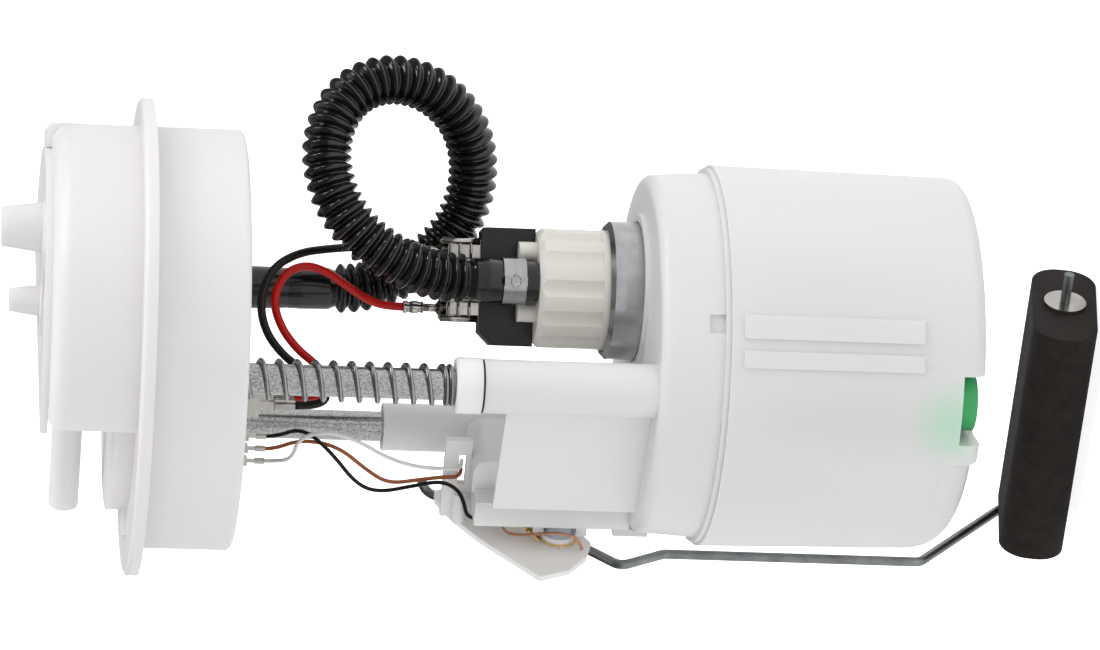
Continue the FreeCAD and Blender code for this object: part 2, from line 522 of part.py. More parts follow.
def make_reservoir_cover():
    body = turned("reservoir_cover", [
        ("0", "-Dim.coverTop"), ("Dim.coverRadius - Dim.coverDraft", "-Dim.coverTop"),
        ("Dim.coverRadius", "-Dim.bucketTop + Dim.beadHigh"),
        ("Dim.beadRadius", "-Dim.bucketTop + Dim.beadHigh"), ("Dim.beadRadius", "-Dim.bucketTop"),
        ("Dim.coverRadius", "-Dim.bucketTop"), ("Dim.coverRadius", "-Dim.coverPlug"),
        ("Dim.coverRadius - Dim.coverWall", "-Dim.coverPlug"),
        ("Dim.coverRadius - Dim.coverWall - Dim.coverDraft", "-Dim.coverTop - Dim.coverWall"),
        ("0", "-Dim.coverTop - Dim.coverWall")])
    fillet(body, "Dim.coverRound", ring_edge(-d.coverTop, d.coverRadius - d.coverDraft))
    for name, radius, top, x, y in (("front", "Dim.sleeve1Radius", "Dim.sleeve1Top", "Dim.rod1X", "Dim.rod1Y"),
                                    ("rear", "Dim.sleeve2Radius", "Dim.sleeve2Top", "Dim.rod2X", "Dim.rod2Y")):
        sleeve = new_sketch(body, name + "_sleeve", height="-Dim.sleeveEnd")
        draw_circle(sleeve, x, y, radius)
        pad(body, sleeve, f"Dim.sleeveEnd - {top}")
    web = new_sketch(body, "sleeve_web", height="-Dim.coverTop - Dim.coverWall / 2")
    draw_polygon(web, [("Dim.webInner", "Dim.rod1Y - Dim.webThick"), ("Dim.webOuter", "Dim.webFront"),
                       ("Dim.webOuter", "Dim.webFront + Dim.webThick"), ("Dim.webInner", "Dim.rod1Y")])
    pad(body, web, "Dim.coverTop + Dim.coverWall / 2 - Dim.webTop")
    collar = new_sketch(body, "can_collar", height="-Dim.coverTop - Dim.canCollar")
    draw_circle(collar, "Dim.pumpX", "Dim.pumpY", "Dim.canRadius + Dim.canGap + Dim.coverWall")
    pad(body, collar, "Dim.canCollar + Dim.coverWall / 2")
    for name, radius, x, y in (("can", "Dim.canRadius + Dim.canGap", "Dim.pumpX", "Dim.pumpY"),
                               ("rod_front", "Dim.rodRadius + Dim.slideGap", "Dim.rod1X", "Dim.rod1Y"),
                               ("rod_rear", "Dim.rodRadius + Dim.slideGap", "Dim.rod2X", "Dim.rod2Y")):
        hole = new_sketch(body, name + "_hole", height="0")
        draw_circle(hole, x, y, radius)
        pocket(body, hole, "Dim.bucketEnd")
    for side, angle in (("near", "Dim.windowTurn"), ("far", "Dim.windowTurn + 180")):
        turned_box(body, "SubtractiveBox", side + "_snap_window", angle,
                   "Dim.coverRadius - Dim.windowDeep", "Dim.coverRadius + 1", "Dim.windowWide",
                   "-Dim.windowTop - Dim.windowHigh", "-Dim.windowTop")
    return body


def make_bucket():
    low = "Dim.bucketRadius - Dim.bucketDraft"
    body = turned("reservoir_bucket", [
        ("0", "-Dim.bucketEnd"), (low, "-Dim.bucketEnd"), ("Dim.bucketRadius", "-Dim.bucketTop"),
        ("Dim.coverRadius + Dim.plugGap", "-Dim.bucketTop"),
        ("Dim.coverRadius + Dim.plugGap", "-Dim.coverPlug - Dim.plugGap * 4"),
        (f"{low} - Dim.bucketWall", "-Dim.bucketEnd + Dim.bucketWall"),
        ("0", "-Dim.bucketEnd + Dim.bucketWall")])
    bay = math.degrees(math.atan2(d.rod1Y, d.rod1X))
    bay_at = "sqrt(Dim.rod1X ^ 2 + Dim.rod1Y ^ 2)"
    bay_outer = "(Dim.bayRadius + Dim.bayWall)"
    bay_roof = "(-Dim.bayEnd + Dim.bucketWall)"
    solid(body, "AdditiveCylinder", "valve_bay", ("Dim.rod1X", "Dim.rod1Y", "-Dim.bucketEnd"),
          Radius=bay_outer, Height=f"{bay_roof} + Dim.bucketEnd")
    turned_box(body, "AdditiveBox", "valve_bay_front", bay, bay_at, f"{bay_at} + Dim.bayReach",
               f"{bay_outer} * 2", "-Dim.bucketEnd", bay_roof)
    fillet(body, "Dim.bucketRound", ring_edge(-d.bucketEnd, d.bucketRadius - d.bucketDraft))
    add_sender_side_corner(body, low)
    floor = "-Dim.bucketEnd + Dim.bucketWall / 2"
    wells = (("front", "Dim.rod1X", "Dim.rod1Y"), ("rear", "Dim.rod2X", "Dim.rod2Y"))
    for name, x, y in wells:
        well = new_sketch(body, name + "_well", height=floor)
        draw_circle(well, x, y, "Dim.wellRadius")
        draw_circle(well, x, y, "Dim.wellRadius - Dim.wellWall")
        pad(body, well, f"-Dim.wellTop - ({floor})")
    for (name, x, y), foot in zip(wells, (bay_roof, "(-Dim.bucketEnd + Dim.bucketWall)")):
        slot = new_sketch(body, name + "_well_slot", height="-Dim.wellSlotTop")
        draw_box(slot, f"{x} - Dim.wellSlot / 2", f"{x} + Dim.wellSlot / 2",
                 f"{y} - Dim.wellRadius - 1", f"{y} + Dim.wellRadius - Dim.wellWall * 2")
        pocket(body, slot, f"-Dim.wellSlotTop - {foot}")
    rib = new_sketch(body, "pump_ribs", height=floor)
    for side in (1, -1):
        draw_box(rib, f"Dim.pumpX + {side} * (Dim.isoLip + Dim.ribWide)", f"Dim.pumpX + {side} * Dim.ribIn",
                 "Dim.pumpY - Dim.ribThick / 2", "Dim.pumpY + Dim.ribThick / 2")
        draw_box(rib, "Dim.pumpX - Dim.ribThick / 2", "Dim.pumpX + Dim.ribThick / 2",
                 f"Dim.pumpY + {side} * Dim.ribIn", f"Dim.pumpY + {side} * (Dim.isoLip + Dim.ribWide)")
    pad(body, rib, f"-Dim.canEnd - Dim.isoThick - ({floor})")
    below = "(-Dim.bucketEnd - 1)"
    solid(body, "SubtractiveCylinder", "valve_bay_room", ("Dim.rod1X", "Dim.rod1Y", below),
          Radius="Dim.bayRadius", Height=f"-Dim.bayEnd - {below}")
    turned_box(body, "SubtractiveBox", "valve_bay_way", bay, bay_at, "Dim.bucketRadius + 1",
               "Dim.bayRadius * 2", below, "-Dim.bayEnd")
    solid(body, "SubtractiveCylinder", "foot_valve_hole", ("Dim.rod1X", "Dim.rod1Y", "-Dim.bayEnd - 1"),
          Radius="Dim.footBody", Height="Dim.bucketWall + 2")
    solid(body, "SubtractiveCylinder", "well_room", ("Dim.rod1X", "Dim.rod1Y", bay_roof),
          Radius="Dim.wellRadius - Dim.wellWall", Height=f"-Dim.wellTop - {bay_roof}")
    for number_of_band, (start, end) in enumerate(PANEL_BANDS, start=1):
        band = new_sketch(body, f"panel_{number_of_band}", "XZ_Plane")
        inner = "(Dim.bucketRadius - Dim.bucketWall)"
        draw_polygon(band, [(inner, "-Dim.panelEnd"), ("Dim.bucketRadius", "-Dim.panelEnd"),
                            ("Dim.bucketRadius + Dim.panelRise", "-Dim.panelTop"), (inner, "-Dim.panelTop")])
        revolve_sector(body, band, start, end)
    return body


def add_sender_side_corner(body, low):
    """The bucket's foot is rounder where the float arm swings past it."""
    centre = (f"{low} - Dim.cornerRound", "-Dim.bucketEnd + Dim.cornerRound")
    fill = new_sketch(body, "corner_fill", "XZ_Plane")
    draw_corner(fill, centre, "Dim.cornerRound - Dim.bucketWall", "Dim.cornerRound - Dim.bucketWall / 2")
    revolve_sector(body, fill, "Dim.cornerFrom", "Dim.cornerTo")
    cut = new_sketch(body, "corner_cut", "XZ_Plane")
    draw_corner(cut, centre, "Dim.cornerRound", "Dim.cornerRound + 1")
    revolve_sector(body, cut, "Dim.cornerFrom", "Dim.cornerTo", groove=True)


def draw_corner(sketch, centre, radius, reach):
    """A square corner below and right of a centre, less the quarter disc of the radius."""
    x, z = number(centre[0]), number(centre[1])
    r, far = number(radius), number(reach)
    arc = sketch.addGeometry(Part.ArcOfCircle(Part.Circle(Vector(x, z, 0), Vector(0, 0, 1), r),
                                              -math.pi / 2, 0))
    corners = [Vector(x + r, z, 0), Vector(x + far, z, 0), Vector(x + far, z - far, 0),
               Vector(x, z - far, 0), Vector(x, z - r, 0)]
    lines = [sketch.addGeometry(Part.LineSegment(a, b)) for a, b in zip(corners, corners[1:])]
    chain = [(arc, 2)] + [(line, end) for line in lines for end in (1, 2)] + [(arc, 1)]
    for (one, one_end), (two, two_end) in zip(chain[::2], chain[1::2]):
        sketch.addConstraint(Sketcher.Constraint("Coincident", one, one_end, two, two_end))
    for line, way in zip(lines, ("Horizontal", "Vertical", "Horizontal", "Vertical")):
        sketch.addConstraint(Sketcher.Constraint(way, line))
    ring = sketch.addConstraint(Sketcher.Constraint("Radius", arc, r))
    sketch.setExpression(f"Constraints[{ring}]", str(radius))
    fix(sketch, "DistanceX", arc, 3, centre[0])
    fix(sketch, "DistanceY", arc, 3, centre[1])
    fix(sketch, "DistanceX", lines[1], 1, f"{centre[0]} + {reach}")
    fix(sketch, "DistanceY", lines[2], 2, f"{centre[1]} - ({reach})")
    fix(sketch, "DistanceY", arc, 2, centre[1])
    fix(sketch, "DistanceX", arc, 1, centre[0])


def make_foot_valve():
    """The green inlet valve in the bucket's floor, and the disc that lifts inside it."""
    body = turned("foot_valve_body", [
        ("Dim.footPort", "-Dim.bayEnd - Dim.footDrop"), ("Dim.footRadius", "-Dim.bayEnd - Dim.footDrop"),
        ("Dim.footRadius", "-Dim.bayEnd"), ("Dim.footBody", "-Dim.bayEnd"),
        ("Dim.footBody", "-Dim.footTop"), ("Dim.footPort", "-Dim.footTop"),
        ("Dim.footPort", "-Dim.footTop - Dim.footLip"), ("Dim.footRoom", "-Dim.footTop - Dim.footLip"),
        ("Dim.footRoom", "-Dim.footSeat"), ("Dim.footPort", "-Dim.footSeat")])
    body.setExpression("Placement.Base.x", "Dim.rod1X")
    body.setExpression("Placement.Base.y", "Dim.rod1Y")
    tube("foot_valve_disc", "Dim.discRadius", None, "-Dim.footSeat + Dim.discPlay",
         "-Dim.footSeat + Dim.discPlay + Dim.discThick", "Dim.rod1X", "Dim.rod1Y")


# Fuel pump: can, outlet cover, terminal block, motor and impeller. Its bodies are drawn about the
# pump's own axis and placed on it.

def make_pump_can():
    return place_at_pump(turned("pump_can", [
        ("Dim.canLip", "-Dim.canTop - Dim.canWall"), ("Dim.canLip", "-Dim.canTop"),
        ("Dim.canRadius - Dim.canCurl", "-Dim.canTop"), ("Dim.canRadius", "-Dim.canTop - Dim.canCurl"),
        ("Dim.canRadius", "-Dim.canEnd + Dim.canCurl"), ("Dim.canRadius - Dim.canCurl", "-Dim.canEnd"),
        ("Dim.canLip", "-Dim.canEnd"), ("Dim.canLip", "-Dim.canEnd + Dim.canWall"),
        ("Dim.canRadius - Dim.canWall", "-Dim.canEnd + Dim.canWall"),
        ("Dim.canRadius - Dim.canWall", "-Dim.canTop - Dim.canWall")]))


def make_outlet_cover():
    """The pump's white top: a scalloped drum, a foot under the can's lip, the nipple and two bosses."""
    body = turned("pump_outlet_cover", [
        ("0", "-Dim.headTop"), ("Dim.headRadius", "-Dim.headTop"),
        ("Dim.headRadius", "-Dim.canTop - Dim.canWall"), ("Dim.headFoot", "-Dim.canTop - Dim.canWall"),
        ("Dim.headFoot", "-Dim.headBase"), ("Dim.headFoot - Dim.coverWall", "-Dim.headBase"),
        ("Dim.headFoot - Dim.coverWall", "-Dim.headRoof"), ("0", "-Dim.headRoof")])
    fillet(body, "Dim.headChamfer", ring_edge(-d.headTop, d.headRadius), "PartDesign::Chamfer")
    scallop = new_sketch(body, "scallop", height="-Dim.headTop")
    draw_circle(scallop, "Dim.headRadius + Dim.scallopRadius - Dim.scallopDepth", "0", "Dim.scallopRadius")
    groove = pocket(body, scallop, "Dim.canTop - Dim.headTop - Dim.headChamfer")
    repeat_round(body, groove, "Dim.scallopCount")
    nipple = new_sketch(body, "nipple", height="-Dim.headTop - Dim.headChamfer")
    draw_circle(nipple, "Dim.nipX", "Dim.nipY", "Dim.nipRadius")
    pad(body, nipple, "Dim.headTop + Dim.headChamfer - Dim.nipTop")
    bosses = new_sketch(body, "bosses", height="-Dim.headTop - Dim.headChamfer")
    draw_circle(bosses, "Dim.boss1X", "Dim.bossY", "Dim.bossRadius")
    draw_circle(bosses, "Dim.boss2X", "Dim.bossY", "Dim.bossRadius")
    pad(body, bosses, "Dim.headTop + Dim.headChamfer - Dim.bossTop")
    seat = new_sketch(body, "ball_room_shell", height="-Dim.ballSeat - Dim.coverWall")
    draw_circle(seat, "Dim.nipX", "Dim.nipY", "Dim.ballRoom + Dim.coverWall / 2")
    pad(body, seat, "Dim.ballSeat + Dim.coverWall - Dim.headTop - Dim.headChamfer")
    for name, radius, top, length in (
            ("nipple_bore", "Dim.nipBore", "-Dim.nipTop", "Dim.ballRoomTop - Dim.nipTop"),
            ("ball_room", "Dim.ballRoom", "-Dim.ballRoomTop", "Dim.ballSeat - Dim.ballRoomTop"),
            ("seat_bore", "Dim.seatBore", "-Dim.ballSeat", "Dim.coverWall")):
        hole = new_sketch(body, name, height=top)
        draw_circle(hole, "Dim.nipX", "Dim.nipY", radius)
        pocket(body, hole, length)
    bearing = new_sketch(body, "bearing", height="-Dim.headRoof")
    draw_circle(bearing, "0", "0", "Dim.bearingRadius")
    pad(body, bearing, "Dim.bearingHigh", reverse=True)
    shaft = new_sketch(body, "shaft_hole", height="-Dim.shaftTop + Dim.shaftEndGap")
    draw_circle(shaft, "0", "0", "Dim.shaftRadius + Dim.shaftGap")
    pocket(body, shaft, "Dim.headBase")
    return place_at_pump(body)


def make_check_valve():
    """The ball that keeps pressure in the outlet, sitting on its seat, and the spring over it."""
    reach = math.sqrt(d.ballRadius ** 2 - d.seatBore ** 2)
    centre = at_pump(d.nipX, d.nipY, -d.ballSeat + reach + d.discPlay)
    ball = doc.addObject("Part::Sphere", "check_valve_ball")
    ball.setExpression("Radius", "Dim.ballRadius")
    ball.Placement = Placement(centre, Rotation())
    low = centre.z + d.ballRadius - d.ballCoilSink
    high = -d.ballRoomTop - d.ballWire / 2
    helix = Part.makeHelix((high - low) / 3, high - low, d.ballCoil)
    ring = Part.Wire(Part.Circle(Vector(d.ballCoil, 0, 0), Vector(0, 1, 0), d.ballWire / 2).toShape())
    coil = Part.Wire(helix.Edges).makePipeShell([ring], True, True)
    coil.translate(Vector(centre.x, centre.y, low))
    shape_node("check_valve_spring", coil)


def make_terminal_block():
    """The black terminal block on the pump's top, with its two blade terminals."""
    body = new_body("pump_terminal_block")
    outline = new_sketch(body, "outline", "XZ_Plane", "-Dim.blockY - Dim.blockWide / 2")
    half, cut, top = "Dim.blockLong / 2", "Dim.blockCut", "-Dim.blockTop"
    draw_polygon(outline, [(f"-{half}", "-Dim.headTop"), (half, "-Dim.headTop"), (half, f"{top} - {cut}"),
                           (f"{half} - {cut}", top), (f"-{half} + Dim.blockStep", top),
                           (f"-{half}", f"{top} - Dim.blockStep")])
    pad(body, outline, "Dim.blockWide")
    place_at_pump(body)
    blades = new_body("pump_blades")
    sketch = new_sketch(blades, "blades", height=top)
    for x in ("Dim.tag1X", "Dim.tag2X"):
        draw_box(sketch, f"{x} - Dim.tagWidth / 2", f"{x} + Dim.tagWidth / 2",
                 "Dim.tagY - Dim.tagThick / 2", "Dim.tagY + Dim.tagThick / 2")
    pad(blades, sketch, "Dim.tagRise")
    place_at_pump(blades)


def make_motor():
    wheel_top = "-Dim.plateTop - Dim.plateThick"
    place_at_pump(tube("motor_plate_upper", "Dim.headFoot", "Dim.shaftRadius + Dim.shaftGap", wheel_top,
                       "-Dim.plateTop"))
    wheel_low = f"{wheel_top} - Dim.wheelThick - Dim.wheelGap * 2"
    place_at_pump(tube("impeller_ring", "Dim.headFoot", "Dim.wheelRadius + Dim.spacerGap", wheel_low, wheel_top))
    inlet = turned("pump_inlet_cover", [
        ("Dim.shaftRadius + Dim.shaftGap", wheel_low), ("Dim.headFoot", wheel_low),
        ("Dim.headFoot", "-Dim.canEnd + Dim.canWall"), ("Dim.canLip - Dim.coverWall", "-Dim.canEnd + Dim.canWall"),
        ("Dim.canLip - Dim.coverWall", "-Dim.canEnd"), ("0", "-Dim.canEnd"),
        ("0", "-Dim.shaftEnd - Dim.shaftEndGap"),
        ("Dim.shaftRadius + Dim.shaftGap", "-Dim.shaftEnd - Dim.shaftEndGap")])
    port = new_sketch(inlet, "inlet_port", height="-Dim.inletEnd")
    draw_circle(port, "Dim.inletX", "0", "Dim.inletRadius")
    pad(inlet, port, "Dim.inletEnd - Dim.canEnd + Dim.canWall")
    bore = new_sketch(inlet, "inlet_bore", height=wheel_low)
    draw_circle(bore, "Dim.inletX", "0", "Dim.inletBore")
    pocket(inlet, bore, "Dim.inletEnd - Dim.plateTop")
    place_at_pump(inlet)

    magnets = []
    for turn in (0, 180):
        start = turn - d.magnetAngle / 2
        outer = Part.makeCylinder(d.magnetOuter, d.magnetEnd - d.magnetTop, Vector(0, 0, -d.magnetEnd),
                                  Vector(0, 0, 1), d.magnetAngle)
        inner = Part.makeCylinder(d.magnetInner, d.magnetEnd, Vector(0, 0, -d.magnetEnd - 1))
        arc = outer.cut(inner)
        arc.rotate(Vector(), Vector(0, 0, 1), start)
        magnets.append(arc)
    node = shape_node("motor_magnets", Part.makeCompound(magnets))
    node.Placement = Placement(Vector(d.pumpX, d.pumpY, 0), Rotation(Vector(0, 0, 1), d.pumpTurn))

    core = tube("armature_core", "Dim.coreRadius", "Dim.shaftRadius", "-Dim.coreEnd", "-Dim.coreTop")
    slot = new_sketch(core, "winding_slot", height="-Dim.coreTop")
    draw_box(slot, "Dim.coreRadius - Dim.slotDeep", "Dim.coreRadius + 1", "-Dim.slotWide / 2", "Dim.slotWide / 2")
    cut = pocket(core, slot, "Dim.coreEnd - Dim.coreTop")
    repeat_round(core, cut, "Dim.coreSlots")
    place_at_pump(core)
    place_at_pump(tube("rotor_shaft", "Dim.shaftRadius", None, "-Dim.shaftEnd", "-Dim.shaftTop"))
    place_at_pump(tube("commutator", "Dim.commRadius", "Dim.shaftRadius", "-Dim.commTop - Dim.commHigh",
                       "-Dim.commTop"))
    wheel = tube("impeller", "Dim.wheelRadius", "Dim.shaftRadius", f"{wheel_low} + Dim.wheelGap",
                 f"{wheel_top} - Dim.wheelGap")
    vane = new_sketch(wheel, "vane_gap", height=f"{wheel_top} - Dim.wheelGap")
    draw_box(vane, "Dim.wheelRadius - Dim.vaneDeep", "Dim.wheelRadius + 1", "-Dim.vaneWide / 2", "Dim.vaneWide / 2")
    gap = pocket(wheel, vane, "Dim.wheelThick")
    repeat_round(wheel, gap, "Dim.vaneCount")
    place_at_pump(wheel)

    brushes = new_body("motor_brushes")
    pair = new_sketch(brushes, "brushes", height="-Dim.commTop + Dim.brushGap")
    for side in (1, -1):
        draw_box(pair, f"{side} * Dim.brushAt - Dim.brushWide / 2", f"{side} * Dim.brushAt + Dim.brushWide / 2",
                 "-Dim.brushWide / 2", "Dim.brushWide / 2")
    pad(brushes, pair, "Dim.commTop - Dim.brushGap - Dim.brushTop")
    place_at_pump(brushes)


def make_isolator_and_strainer():
    place_at_pump(turned("pump_isolator", [
        ("Dim.isoLip", "-Dim.canEnd - Dim.isoThick"),
        ("Dim.canRadius + Dim.isoThick", "-Dim.canEnd - Dim.isoThick"),
        ("Dim.canRadius + Dim.isoThick", "-Dim.isoTop"),
        ("Dim.canRadius", "-Dim.isoTop"), ("Dim.canRadius", "-Dim.canEnd"),
        ("Dim.isoLip", "-Dim.canEnd")]))
    sock = turned("inlet_strainer", [
        ("0", "-Dim.sockEnd"), ("Dim.sockRadius - Dim.sockRound", "-Dim.sockEnd"),
        ("Dim.sockRadius", "-Dim.sockEnd + Dim.sockRound"), ("Dim.sockRadius", "-Dim.sockTop - Dim.sockRound"),
        ("Dim.sockRadius - Dim.sockRound", "-Dim.sockTop"), ("0", "-Dim.sockTop")])
    neck = new_sketch(sock, "neck", height="-Dim.sockTop - Dim.sockRound")
    draw_circle(neck, "Dim.inletX", "0", "Dim.inletRadius")
    pad(sock, neck, "Dim.sockTop + Dim.sockRound - Dim.inletEnd")
    place_at_pump(sock)


# Level sender on its bracket. Its parts are drawn on planes square to the hub, which lies along X.

def make_sender_body():
    body = new_body("sender_body")
    base = new_sketch(body, "base", "YZ_Plane", "Dim.senderInner")
    draw_box(base, "-Dim.senderBack", "Dim.senderFront", "-Dim.coverTop", "-Dim.senderTop")
    pad(body, base, "Dim.senderOuter - Dim.senderInner")
    ear = new_sketch(body, "ear", "XZ_Plane", "-Dim.earY - Dim.earThick")
    draw_polygon(ear, [("Dim.earInner", "-Dim.boxTop"), ("Dim.senderInner", "-Dim.boxTop"),
                       ("Dim.senderInner", "-Dim.earEnd"), ("Dim.earOuter", "-Dim.earEnd"),
                       ("Dim.earOuter", "-Dim.earTop"), ("Dim.earInner", "-Dim.earTop")])
    middle = "(Dim.earTop + Dim.earEnd) / 2"
    draw_box(ear, "Dim.earSlotX - Dim.earSlotLong / 2", "Dim.earSlotX + Dim.earSlotLong / 2",
             f"-{middle} - Dim.earSlotWide / 2", f"-{middle} + Dim.earSlotWide / 2")
    pad(body, ear, "Dim.earThick")
    post = new_sketch(body, "post", "YZ_Plane", "Dim.senderOuter - Dim.earThick")
    draw_circle(post, "Dim.earY + Dim.earThick + Dim.postRadius / 2", f"-{middle}", "Dim.postRadius")
    pad(body, post, "Dim.postOuter - Dim.senderOuter + Dim.earThick")
    guards = new_sketch(body, "guards", "YZ_Plane", "Dim.senderOuter")
    for side in (1, -1):
        near = f"-Dim.hubZ + {side} * (Dim.hubRadius + Dim.guardGap)"
        draw_box(guards, "Dim.guardBack", "Dim.guardFront", near, f"{near} + {side} * Dim.guardThick")
    draw_box(guards, "Dim.tagBack", "Dim.tagBack + Dim.plateWide", "-Dim.tagEnd", "-Dim.tagEnd + Dim.plateLong")
    pad(body, guards, "Dim.guardOuter - Dim.senderOuter")
    hook = new_sketch(body, "hook", "XZ_Plane", "-Dim.hookBack - Dim.hookWide")
    draw_polygon(hook, [("Dim.senderOuter - 1", "-Dim.coverTop"), ("Dim.coverRadius + Dim.hookGap", "-Dim.coverTop"),
                        ("Dim.coverRadius + Dim.hookGap", "-Dim.hookEnd"), ("Dim.hookOuter", "-Dim.hookEnd"),
                        ("Dim.hookOuter", "-Dim.coverTop + Dim.hookThick"),
                        ("Dim.senderOuter - 1", "-Dim.coverTop + Dim.hookThick")])
    pad(body, hook, "Dim.hookWide")
    room = new_sketch(body, "card_room", "YZ_Plane", "Dim.senderInner")
    draw_box(room, "-Dim.senderBack + Dim.boxWall", "Dim.senderFront - Dim.roomEdge",
             "-Dim.coverTop + Dim.roomRise", "-Dim.senderTop - Dim.boxWall")
    pocket(body, room, "Dim.cardX + Dim.cardThick - Dim.senderInner", reverse=True)
    hub = new_sketch(body, "hub_hole", "YZ_Plane", "Dim.senderInner")
    draw_circle(hub, "Dim.hubY", "-Dim.hubZ", "Dim.hubRadius + Dim.hubGap")
    pocket(body, hub, "Dim.guardOuter", reverse=True)
    tag = new_sketch(body, "tag_seat", "YZ_Plane", "Dim.tagSeat")
    draw_box(tag, "Dim.tagBack - 1", "Dim.tagBack + Dim.plateWide + 1", "-Dim.tagEnd - 1",
             "-Dim.tagEnd + Dim.plateLong + 1")
    pocket(body, tag, "Dim.guardOuter", reverse=True)
    return body


def make_sender_cover():
    body = new_body("sender_cover")
    plate = new_sketch(body, "plate", "YZ_Plane", "Dim.senderInner")
    draw_box(plate, "-Dim.senderBack", "Dim.senderFront", "-Dim.coverTop", "-Dim.senderTop")
    pad(body, plate, "Dim.lidThick", reverse=True)
    box = new_sketch(body, "box", "YZ_Plane", "Dim.senderInner")
    draw_box(box, "-Dim.senderBack", "Dim.boxFront", "-Dim.coverTop", "-Dim.boxTop")
    pad(body, box, "Dim.senderInner - Dim.boxInner", reverse=True)
    fillet(body, "Dim.boxRound", lambda e: e.BoundBox.XMax < d.boxInner + 0.01
           and e.BoundBox.ZMin > -d.coverTop + 0.01)
    room = new_sketch(body, "box_room", "YZ_Plane", "Dim.senderInner")
    draw_box(room, "-Dim.senderBack + Dim.boxWall", "Dim.boxFront - Dim.boxWall",
             "-Dim.coverTop + Dim.boxWall", "-Dim.senderTop - Dim.boxWall")
    pocket(body, room, "Dim.senderInner - Dim.boxInner - Dim.boxRound")
    return body


def slab(label, y1, y2, z1, z2, x, thick, hole=None):
    """A flat piece square to the hub, from x over its thickness, with an optional round hole."""
    body = new_body(label)
    sketch = new_sketch(body, label + "_face", "YZ_Plane", x)
    draw_box(sketch, y1, y2, z1, z2)
    if hole:
        draw_circle(sketch, *hole)
    pad(body, sketch, thick)
    return body


def disc(label, radius, x, thick, inner=None, y="Dim.hubY", z="-Dim.hubZ"):
    """A round piece on an axis along X."""
    body = new_body(label)
    sketch = new_sketch(body, label + "_face", "YZ_Plane", x)
    draw_circle(sketch, y, z, radius)
    if inner:
        draw_circle(sketch, y, z, inner)
    pad(body, sketch, thick)
    return body


def make_sender_contacts():
    slab("resistor_card", "-Dim.senderBack + Dim.boxWall", "Dim.hubY - Dim.hubRadius - Dim.guardGap",
         "-Dim.hubZ - Dim.cardLong / 2", "-Dim.hubZ + Dim.cardLong / 2", "Dim.cardX", "Dim.cardThick")
    slab("sender_terminal_plate", "Dim.tagBack - Dim.tagOver", "Dim.tagBack + Dim.plateWide + Dim.tagOver",
         "-Dim.tagEnd", "-Dim.tagEnd + Dim.plateLong", "Dim.tagSeat", "Dim.braceThick")
    blade = new_body("contact_spring")
    side = new_sketch(blade, "blade", "XZ_Plane", "-Dim.hubY - Dim.forkWide / 2")
    ring_top = "-Dim.hubZ + Dim.buttonRadius + Dim.ringHigh + Dim.forkGap"
    draw_polygon(side, [("Dim.senderOuter", "-Dim.forkTop"), ("Dim.senderOuter", "-Dim.forkTop - Dim.braceThick"),
                        ("Dim.ringInner", ring_top), ("Dim.ringInner + Dim.ringWide", ring_top),
                        ("Dim.ringInner + Dim.ringWide", f"{ring_top} + Dim.braceThick")])
    pad(blade, side, "Dim.forkWide")
    split = new_sketch(blade, "fork_split", "XY_Plane", "-Dim.forkTop + 1")
    draw_box(split, "Dim.forkFrom", "Dim.ringInner + Dim.ringWide + 1", "Dim.hubY - Dim.forkSplit / 2",
             "Dim.hubY + Dim.forkSplit / 2")
    pocket(blade, split, "Dim.hubZ - Dim.forkTop")


def make_hub():
    disc("hub_shaft", "Dim.hubRadius", "Dim.wiperX + Dim.wiperThick",
         "Dim.buttonInner - Dim.wiperX - Dim.wiperThick")
    disc("hub_button", "Dim.buttonRadius", "Dim.buttonInner", "Dim.holderInner - Dim.buttonInner")
    disc("hub_contact_ring", "Dim.buttonRadius + Dim.ringHigh", "Dim.ringInner", "Dim.ringWide",
         "Dim.buttonRadius")
    wiper = disc("wiper_arm", "Dim.hubRadius", "Dim.wiperX", "Dim.wiperThick")
    arm = new_sketch(wiper, "finger", "YZ_Plane", "Dim.wiperX")
    way = Vector(0, -math.cos(math.radians(d.wiperAngle)), -math.sin(math.radians(d.wiperAngle)))
    side = Vector(0, way.z, -way.y) * (d.wiperWide / 2)
    hub = Vector(0, d.hubY, -d.hubZ)
    tip = hub + way * d.wiperLong
    draw_polygon(arm, [(f"{p.y}", f"{p.z}") for p in (hub + side, tip + side, tip - side, hub - side)])
    pad(wiper, arm, "Dim.wiperThick")
    foot = new_sketch(wiper, "contact", "YZ_Plane", "Dim.wiperX")
    draw_circle(foot, f"{(tip - way * d.wiperWide / 2).y}", f"{(tip - way * d.wiperWide / 2).z}", "Dim.wiperWide / 4")
    pad(wiper, foot, "Dim.cardX - Dim.wiperX - Dim.forkGap")


# Float arm: the holder plate on the hub, the bent wire and the float on its end

HOLDER_OUTLINE = [(-24.0, 32.4), (-19.6, 32.6), (-10.3, 28.5), (0.7, 21.5), (19.3, 6.5),
                  (15.4, -1.9), (8.5, -7.3), (1.0, -9.4), (-5.6, -6.0), (-17.0, 12.0), (-26.5, 27.0)]
ARM_ROUTE = [(-3.4, -28.0, 35.6), (0, -28.0, 34.5), (0, -0.4, -8.7), (0, 7.9, -17.2), (0, 1.1, -30.1),
             (0, 1.5, -102.5), (0, -31.5, -133.6)]


def arm_points():
    """The wire's corners, from the stub past the holder to the stub out of the float."""
    hub = Vector(d.armX, d.hubY, -d.hubZ)
    points = [hub + Vector(*step) for step in ARM_ROUTE]
    points.append(Vector(d.armX, d.floatY, -d.floatZ))
    points.append(Vector(d.tailEnd, d.floatY, -d.floatZ))
    return points


